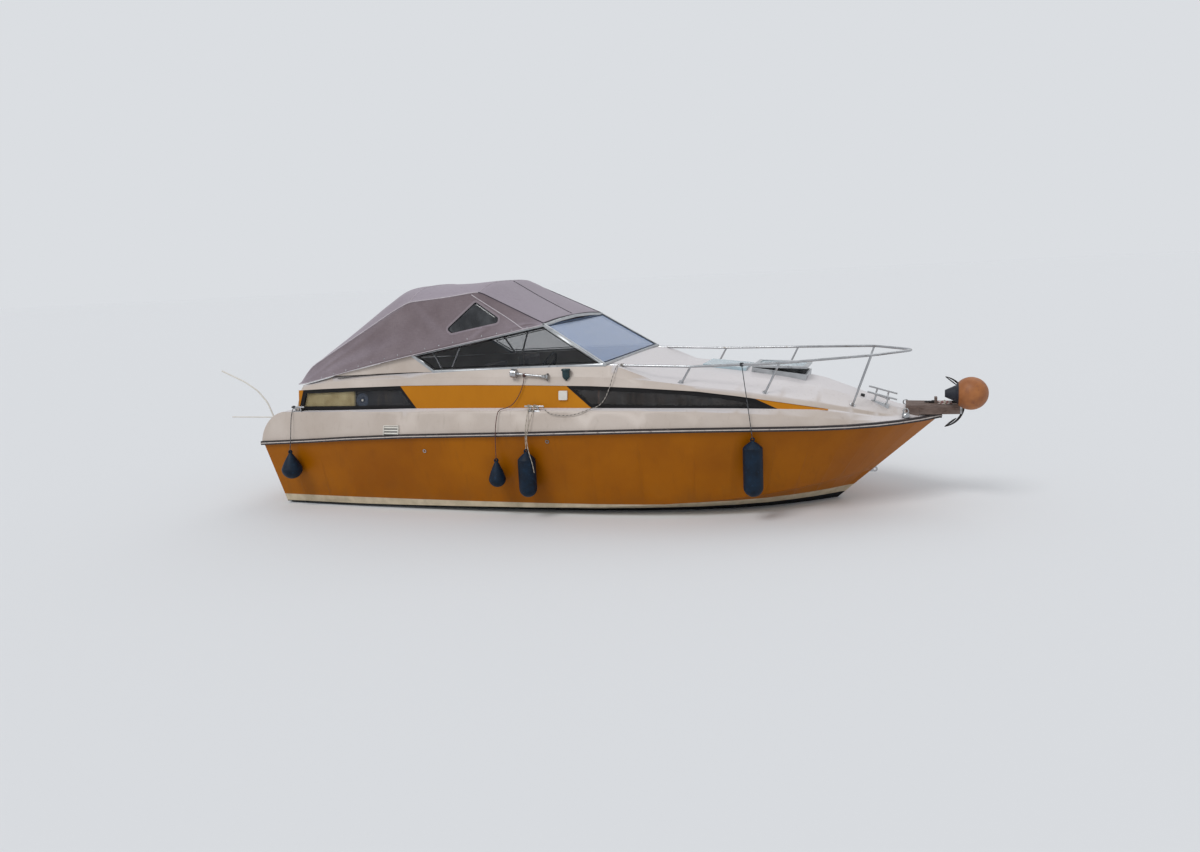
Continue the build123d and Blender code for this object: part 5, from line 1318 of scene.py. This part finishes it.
def sew_channels(pad, low, high, flat, spacing):
    """Rows sewn down across the free face, evenly spaced about its middle."""
    middle = (low.y + high.y) / 2
    count = int((high.y - low.y) / spacing / 2 + 0.3)
    rows = [k for k in range(-count, count + 1) if spacing < CHANNEL_CLOSE or k]
    for vert in pad.data.vertices:
        depth = (vert.co[flat] - low[flat]) / (high[flat] - low[flat])
        if depth < 0.5:
            continue
        for k in rows:
            off = (vert.co.y - middle - k * spacing) / CHANNEL_HALF
            vert.co[flat] -= CHANNEL_DEPTH * math.exp(-off * off) * min(1, (depth - 0.5) * 3)


def keep_inside(pad, low, high):
    """Holds a pad within the space of its CAD solid."""
    for vert in pad.data.vertices:
        for i in range(3):
            vert.co[i] = min(max(vert.co[i], low[i] + PAD_INSIDE), high[i] + PAD_PROUD)


def skin_of(mesh):
    """A mesh's surface for rays to meet."""
    return BVHTree.FromPolygons([v.co for v in mesh.vertices], [p.vertices for p in mesh.polygons])


def edge_welt(pad, low, high, flat, name, node):
    """Piping round the pad, on the seam along its sides."""
    skin = skin_of(pad.data)
    middle = (low + high) / 2
    middle[flat] = low[flat] + (high[flat] - low[flat]) * WELT_HEIGHT
    first, second = [i for i in range(3) if i != flat]
    points = []
    for k in range(WELT_POINTS):
        turn = 2 * math.pi * k / WELT_POINTS
        aim = Vector()
        square = max(abs(math.cos(turn)), abs(math.sin(turn)))
        aim[first] = math.cos(turn) / square * (high[first] - low[first])
        aim[second] = math.sin(turn) / square * (high[second] - low[second])
        hit, normal, _, _ = skin.ray_cast(middle + aim * 2, -aim.normalized())
        if hit:
            points.append(hit + normal * WELT_RADIUS * WELT_OUT)
    points.append(points[0])
    pipe(name, points, WELT_RADIUS, "vinyl_cream", node, sides=2)


for node, row in PADS.items():
    make_pads(node, *row)
# The two mouldings have flatter knuckles, so a smaller shading angle
MOULDING_DEG = 24
dress("hull_shell", 0, MOULDING_DEG)
dress("deck_moulding", 0, MOULDING_DEG)
# Parts of nodes that are of different stuff: node, new piece, which solids by middle and size, finish
for node, name, chosen, material in (
    ("windscreen_glass", "front_pane", lambda mid, size: size.y > 1, "screen_glass"),
    ("windscreen_glass", "side_panes", lambda mid, size: size.y < 1, "side_glass"),
    ("side_window_glass", "aft_lights", lambda mid, size: mid.x < -1, "aft_acrylic"),
    ("side_window_glass", "fore_lights", lambda mid, size: mid.x > -1, "tinted_acrylic"),
    ("window_linings", "speaker_boards", lambda mid, size: mid.x < -1, "board_beige"),
    ("window_linings", "curtains", lambda mid, size: mid.x > -1, "curtain_cloth"),
    ("hull_fittings", "deck_cap", lambda mid, size: 2.7 < mid.x < 2.83, "black_plastic"),
    ("hull_fittings", "steel_fittings",
     lambda mid, size: mid.x > 2.83 or (size.x < 0.05 and mid.x < 0), "stainless"),
    ("hull_fittings", "socket_cover", lambda mid, size: abs(mid.x) < 0.2, "white_plastic"),
):
    part_of_node(node, name, chosen, material)


def touch(node, start, aim):
    """Where a ray from start along aim meets a node's surface: place and outward normal."""
    place, normal, _, _ = skin_of(frame["nodes"][node].data).ray_cast(Vector(start), Vector(aim).normalized())
    return place, normal


# Stanchion feet as x, y and the foot's height; each stands in a flanged socket
STANCHIONS = [(1.165, 0.945, 1.290), (1.933, 0.779, 1.180), (2.708, 0.449, 1.010)]
FOOT_OUTLINE = [(-0.002, 0.0), (-0.002, 0.030), (0.004, 0.029), (0.006, 0.017), (0.022, 0.0145), (0.023, 0.0)]
RAIL_END = (0.480, 0.925, 1.480)
END_OUTLINE = [(-0.012, 0), (-0.012, 0.014), (0.03, 0.0145), (0.032, 0)]
MERGED_DEG = 35


def merged(name, shapes, material, like, stands_for=()):
    """One piece from several bmeshes."""
    whole = bmesh.new()
    for shape in shapes:
        mesh = bpy.data.meshes.new("part")
        bmesh.ops.recalc_face_normals(shape, faces=shape.faces)
        shape.to_mesh(mesh)
        shape.free()
        whole.from_mesh(mesh)
        bpy.data.meshes.remove(mesh)
    mesh = bpy.data.meshes.new(name)
    whole.to_mesh(mesh)
    whole.free()
    mesh.shade_smooth()
    mesh.set_sharp_from_angle(angle=math.radians(MERGED_DEG))
    return finish_piece(keep(mesh, name), material, like, stands_for)


def block(low, high, round_mm=0.0):
    """A bmesh box between two corners, its edges rounded."""
    shape = bmesh.new()
    bmesh.ops.create_cube(shape, size=1.0)
    middle, size = (Vector(low) + Vector(high)) / 2, Vector(high) - Vector(low)
    for vert in shape.verts:
        vert.co = middle + Vector([vert.co[i] * size[i] for i in range(3)])
    if round_mm:
        bmesh.ops.bevel(shape, geom=shape.edges[:], offset=round_mm / 1000, segments=2, profile=0.5,
                        affect="EDGES", clamp_overlap=True)
    return shape


def rail_feet():
    """Flanged sockets under the stanchions, and the sockets that take the rail's aft ends."""
    shapes = []
    for x, y, z in STANCHIONS:
        for side in (-1, 1):
            place, normal = touch("deck_moulding", (x, side * y, z + 0.3), (0, 0, -1))
            shapes.append(turned_shape(FOOT_OUTLINE, place, normal, 24))
    for side in (-1, 1):
        end = Vector((RAIL_END[0], side * RAIL_END[1], RAIL_END[2]))
        shapes.append(turned_shape(END_OUTLINE, end, (1, 0, 0), 24))
    merged("rail_feet", shapes, "stainless", "bow_rail")


# Loudspeaker behind the aft window: place, and its outline as distance outwards and radius
SPEAKER = (-2.268, 1.155)
SPEAKER_OUTLINE = [
    (0.0, 0.0), (0.0, 0.074), (0.004, 0.074), (0.006, 0.070), (0.004, 0.064), (0.0055, 0.058), (0.003, 0.050),
    (0.0005, 0.024), (0.003, 0.020), (0.0045, 0.010), (0.005, 0.0),
]
# Pale dome at the cone's middle: a painted highlight
SPEAKER_HIGHLIGHT_DOME = [(0.003, 0.0), (0.003, 0.013), (0.007, 0.011), (0.010, 0.006), (0.011, 0.0)]


def loudspeakers():
    """A coned loudspeaker on the board behind each aft window, with a pale dome at its middle as a painted
    highlight.
    """
    shapes, highlight_domes = [], []
    for side in (-1, 1):
        place, normal = touch("window_linings", (SPEAKER[0], side * 1.3, SPEAKER[1]), (0, -side, 0))
        shapes.append(turned_shape(SPEAKER_OUTLINE, place - normal * 0.001, normal, 40))
        highlight_domes.append(turned_shape(SPEAKER_HIGHLIGHT_DOME, place, normal, 24))
    merged("loudspeakers", shapes, "cone_paper", "window_linings")
    merged("speaker_highlight_domes", highlight_domes, "white_plastic", "window_linings")


# Engine-room vent on the starboard side: middle as x and z, width and height, how far it stands out,
# width of its rim, rounding in mm, louvres
VENT = (-1.848, 0.861)
VENT_SIZE = (0.186, 0.110)
VENT_OUT = 0.017
VENT_RIM = 0.010
VENT_ROUND = 3.0
VENT_LOUVRES = 3


def hull_vent():
    """Moulded cowl with three hooded slots, bedded on the sloping side."""
    place, normal = touch("deck_moulding", (VENT[0], -1.5, VENT[1]), (0, 1, 0))
    along = (Vector((1, 0, 0)) - normal * normal.x).normalized()
    up = along.cross(normal)
    if up.z < 0:
        up.negate()

    def seated(low, high, round_mm):
        shape = block(low, high, round_mm)
        for vert in shape.verts:
            vert.co = place + along * vert.co.x + up * vert.co.z + normal * vert.co.y
        return shape

    half, tall, rim = VENT_SIZE[0] / 2, VENT_SIZE[1] / 2, VENT_RIM
    shapes = [
        seated((-half, -0.003, -tall), (half, 0.005, tall), 2.0),
        seated((-half, 0.0, tall - rim), (half, VENT_OUT, tall), VENT_ROUND),
        seated((-half, 0.0, -tall), (-half + rim, VENT_OUT, tall), VENT_ROUND),
        seated((half - rim, 0.0, -tall), (half, VENT_OUT, tall), VENT_ROUND),
        seated((-half, 0.0, -tall), (half, VENT_OUT * 0.6, -tall + rim), VENT_ROUND),
    ]
    merged("vent_body", shapes, "white_plastic", "hull_fittings", stands_for=("hull_fittings",))
    hoods = []
    room = (2 * tall - 2 * rim) / VENT_LOUVRES
    for k in range(VENT_LOUVRES):
        top = tall - rim - k * room
        shape = seated((-half + rim, 0.001, top - room * 0.72), (half - rim, 0.008, top - room * 0.1), 1.5)
        shape.verts.ensure_lookup_table()
        for vert in shape.verts:
            lean = (top - (vert.co - place).dot(up)) / room
            vert.co += normal * 0.007 * lean
        hoods.append(shape)
    merged("vent_louvres", hoods, "white_plastic", "hull_fittings")
    # Black sheet behind the louvres: painted shade in the slots
    dark = [seated((-half + rim, 0.0052, -tall + rim), (half - rim, 0.0058, tall - rim), 0.0)]
    merged("vent_slot_shade", dark, "black_plastic", "hull_fittings")


# Sides shorter than this, or turns flatter than this in radians, don't make a corner
SHORT_SIDE = 0.03
FLAT_TURN = 3.0
# The bead on the panes: how far inside their edge, how far out of their middle, and its radius
GASKET_INSET = 0.016
GASKET_OUT = 0.0042
GASKET_RADIUS = 0.0045


def true_corners(points):
    """The points of a closed outline where it really turns."""
    kept = list(points)
    k = 0
    while k < len(kept) and len(kept) > 3:
        before, after = kept[k - 1] - kept[k], kept[(k + 1) % len(kept)] - kept[k]
        if before.length < SHORT_SIDE or before.angle(after) > FLAT_TURN:
            del kept[k]
            k = 0
        else:
            k += 1
    return kept


def pane_gasket(name, parts, like):
    """Black rubber bead round each pane, on both faces, just inside its frame."""
    for k, shape in enumerate(parts):
        faces = sorted(shape.faces, key=lambda f: -f.calc_area())
        normal = faces[0].normal.copy()
        middle = sum((v.co for v in shape.verts), Vector()) / len(shape.verts)
        side = normal.orthogonal().normalized()
        other = normal.cross(side)
        flat = [((v.co - middle).dot(side), (v.co - middle).dot(other)) for v in shape.verts]
        rim = [flat[i] for i in geometry.convex_hull_2d(flat)]
        points = true_corners([middle + side * a + other * b for a, b in rim])
        corners = []
        for i, here in enumerate(points):
            before, after = points[i - 1] - here, points[(i + 1) % len(points)] - here
            inward = (before.normalized() + after.normalized()).normalized()
            corners.append(here + inward * GASKET_INSET / math.sin(before.angle(after) / 2))
        for j, out in enumerate((GASKET_OUT, -GASKET_OUT)):
            loop = [p + normal * out for p in corners]
            pipe(f"{name}_{k}_{j}", loop + [loop[0]], GASKET_RADIUS, "window_rubber", like, sides=1)
        shape.free()


def solids_of(node):
    """A bmesh for each solid of a node."""
    whole = node_shape(node)
    out = []
    for island in islands(whole):
        part = whole.copy()
        part.verts.ensure_lookup_table()
        kept = {v.index for v in island}
        bmesh.ops.delete(part, geom=[v for v in part.verts if v.index not in kept], context="VERTS")
        bmesh.ops.dissolve_limit(part, angle_limit=0.01, verts=part.verts, edges=part.edges)
        out.append(part)
    whole.free()
    return out


# Instruments on the console's aft face: y, z, radius of the bezel, place of the needle in degrees
CONSOLE_FACE_X = -0.150
DIALS = [
    (-0.62, 1.300, 0.042, 210), (-0.52, 1.300, 0.042, 150),
    (-0.37, 1.310, 0.028, 120), (-0.30, 1.310, 0.028, 60),
]
# A dial's outline: distance outwards in metres, and share of its radius
BEZEL = [
    (-0.002, 0.0), (-0.002, 1.0), (0.006, 1.0), (0.009, 0.93), (0.006, 0.86), (0.002, 0.85), (0.002, 0.0),
]
# Shares of the radius at which the marks stand and the needle ends, and their heights off the face
MARK_SHARE = 0.72
MARK_OUT = 0.0026
NEEDLE_SHARE = 0.62
NEEDLE_OUT = 0.0034
NEEDLE_PIECES = 8


def dial(y, z, radius, needle_deg):
    """A gauge's bezel, and the blocks of its marks and needle."""
    bezel = turned_shape([(a, b * radius) for a, b in BEZEL], (CONSOLE_FACE_X, y, z), (-1, 0, 0), 32)
    marks = []

    def mark(degrees, reach, out, half):
        turn = math.radians(degrees)
        middle = Vector((CONSOLE_FACE_X - out, y + math.cos(turn) * reach, z + math.sin(turn) * reach))
        marks.append(block(middle - half, middle + half))

    for k in range(-4, 5):
        size = 1.6 if k % 2 == 0 else 1.0
        mark(90 + 30 * k, radius * MARK_SHARE, MARK_OUT, Vector((0.0005, 0.0011, 0.0011)) * size)
    for k in range(NEEDLE_PIECES):
        wide = 0.0016 - 0.0001 * k
        mark(needle_deg, k / NEEDLE_PIECES * NEEDLE_SHARE * radius, NEEDLE_OUT, Vector((0.0006, wide, wide)))
    return bezel, marks


# Rocker switches: y of the first, spacing, how many
SWITCHES = (-0.62, 0.062, 6)
# Throttle: base outline and place, lever's route, grip's outline and place
THROTTLE_BOSS = [(0, 0), (0, 0.030), (0.012, 0.028), (0.018, 0.0)]
THROTTLE_PLACE = (-0.185, -0.792, 1.250)
THROTTLE_ROUTE = [(-0.203, -0.792, 1.250), (-0.222, -0.792, 1.305), (-0.228, -0.792, 1.372)]
GRIP_OUTLINE = [(0, 0), (0, 0.009), (0.008, 0.014), (0.050, 0.016), (0.062, 0.012), (0.066, 0)]
GRIP_PLACE = (-0.229, -0.792, 1.366)


def helm_instruments():
    """Gauges, a row of switches and the throttle on the console."""
    bezels, marks = [], []
    for row in DIALS:
        bezel, ticks = dial(*row)
        bezels.append(bezel)
        marks += ticks
    merged("dial_bezels", bezels, "black_plastic", "helm_console")
    merged("dial_marks", marks, "white_plastic", "helm_console")
    rockers = []
    first, spacing, count = SWITCHES
    for y in (first + spacing * k for k in range(count)):
        rockers.append(block((-0.154, y - 0.012, 1.205), (-0.149, y + 0.012, 1.245), 1.0))
        rockers.append(block((-0.159, y - 0.008, 1.212), (-0.152, y + 0.008, 1.238), 2.0))
    merged("switches", rockers, "black_plastic", "helm_console")
    base = [
        block((-0.185, -0.832, 1.180), (-0.149, -0.752, 1.320), 6.0),
        turned_shape(THROTTLE_BOSS, THROTTLE_PLACE, (-1, 0, 0), 28),
    ]
    merged("throttle_base", base, "black_plastic", "helm_console")
    pipe("throttle_lever", THROTTLE_ROUTE, 0.0065, "stainless", "helm_console", smooth=True)
    grip = turned_shape(GRIP_OUTLINE, GRIP_PLACE, (-0.1, 0, 1), 24)
    merged("throttle_grip", [grip], "black_plastic", "helm_console")


# Joint under the quarter panels: start and run in x, points, how far out the ray falls and the bead lies
JOINT_START = -2.585
JOINT_RUN = 1.135
JOINT_STEPS = 14
JOINT_RAY_Y = 0.972
JOINT_Y = 0.986
JOINT_LIFT = 0.004
JOINT_RADIUS = 0.0045


def coaming_beads():
    """The dark joint under each quarter panel."""
    for k, side in enumerate((-1, 1)):
        points = []
        for i in range(JOINT_STEPS + 1):
            x = JOINT_START + JOINT_RUN * i / JOINT_STEPS
            place, _ = touch("deck_moulding", (x, side * JOINT_RAY_Y, 1.7), (0, 0, -1))
            if place:
                points.append(Vector((x, side * JOINT_Y, place.z + JOINT_LIFT)))
        pipe(f"panel_joint_{k}", points, JOINT_RADIUS, "window_rubber", "quarter_panels", sides=1)


rail_feet()
loudspeakers()
hull_vent()
pane_gasket("pane_bead", solids_of("windscreen_glass"), "windscreen_glass")
helm_instruments()
coaming_beads()

FLOOR_RADIUS = 400
FLOOR_COLOUR = "#E4E6E8"
BACKDROP_COLOUR = "#DBDEE2"
SKY_COLOUR = "#F4F6FA"
SKY_STRENGTH = 0.60
# Lamps: name, direction of the light, softness in degrees, strength
LAMPS = (("key", (0.35, 0.75, -1.0), 25, 1.05), ("rim", (-0.4, -0.9, -1.1), 40, 0.35))


def make_stage():
    """A pale paper floor at the waterline, soft light all round, and two soft lamps."""
    shape = bmesh.new()
    bmesh.ops.create_circle(shape, cap_ends=True, radius=FLOOR_RADIUS, segments=96)
    floor = from_bmesh(shape, "floor")
    material, _, shader, _ = begin("paper_floor", Roughness=0.9)
    shader.inputs["Base Color"].default_value = linear(FLOOR_COLOUR)
    floor.data.materials.append(material)
    world = bpy.data.worlds.new("Studio")
    bpy.context.scene.world = world
    world.use_nodes = True
    tree = world.node_tree
    tree.nodes.clear()
    rays = add(tree, "ShaderNodeLightPath")
    seen = rays.outputs["Is Camera Ray"]
    for kind in ("Is Glossy Ray", "Is Transmission Ray"):
        seen = add(tree, "ShaderNodeMath", {0: seen, 1: rays.outputs[kind]}, operation="MAXIMUM").outputs[0]
    light = add(tree, "ShaderNodeBackground", {"Color": SKY_COLOUR, "Strength": SKY_STRENGTH})
    back = add(tree, "ShaderNodeBackground", {"Color": BACKDROP_COLOUR, "Strength": 1.0})
    both = add(tree, "ShaderNodeMixShader", {0: seen, 1: light.outputs[0], 2: back.outputs[0]})
    add(tree, "ShaderNodeOutputWorld", {"Surface": both.outputs[0]})
    for name, aim, soft_deg, strength in LAMPS:
        data = bpy.data.lights.new(name, "SUN")
        data.angle = math.radians(soft_deg)
        data.energy = strength
        lamp = bpy.data.objects.new(name, data)
        lamp.rotation_euler = Vector(aim).to_track_quat("-Z", "Y").to_euler()
        bpy.context.scene.collection.objects.link(lamp)


make_stage()
bpy.context.scene.view_settings.view_transform = "Standard"
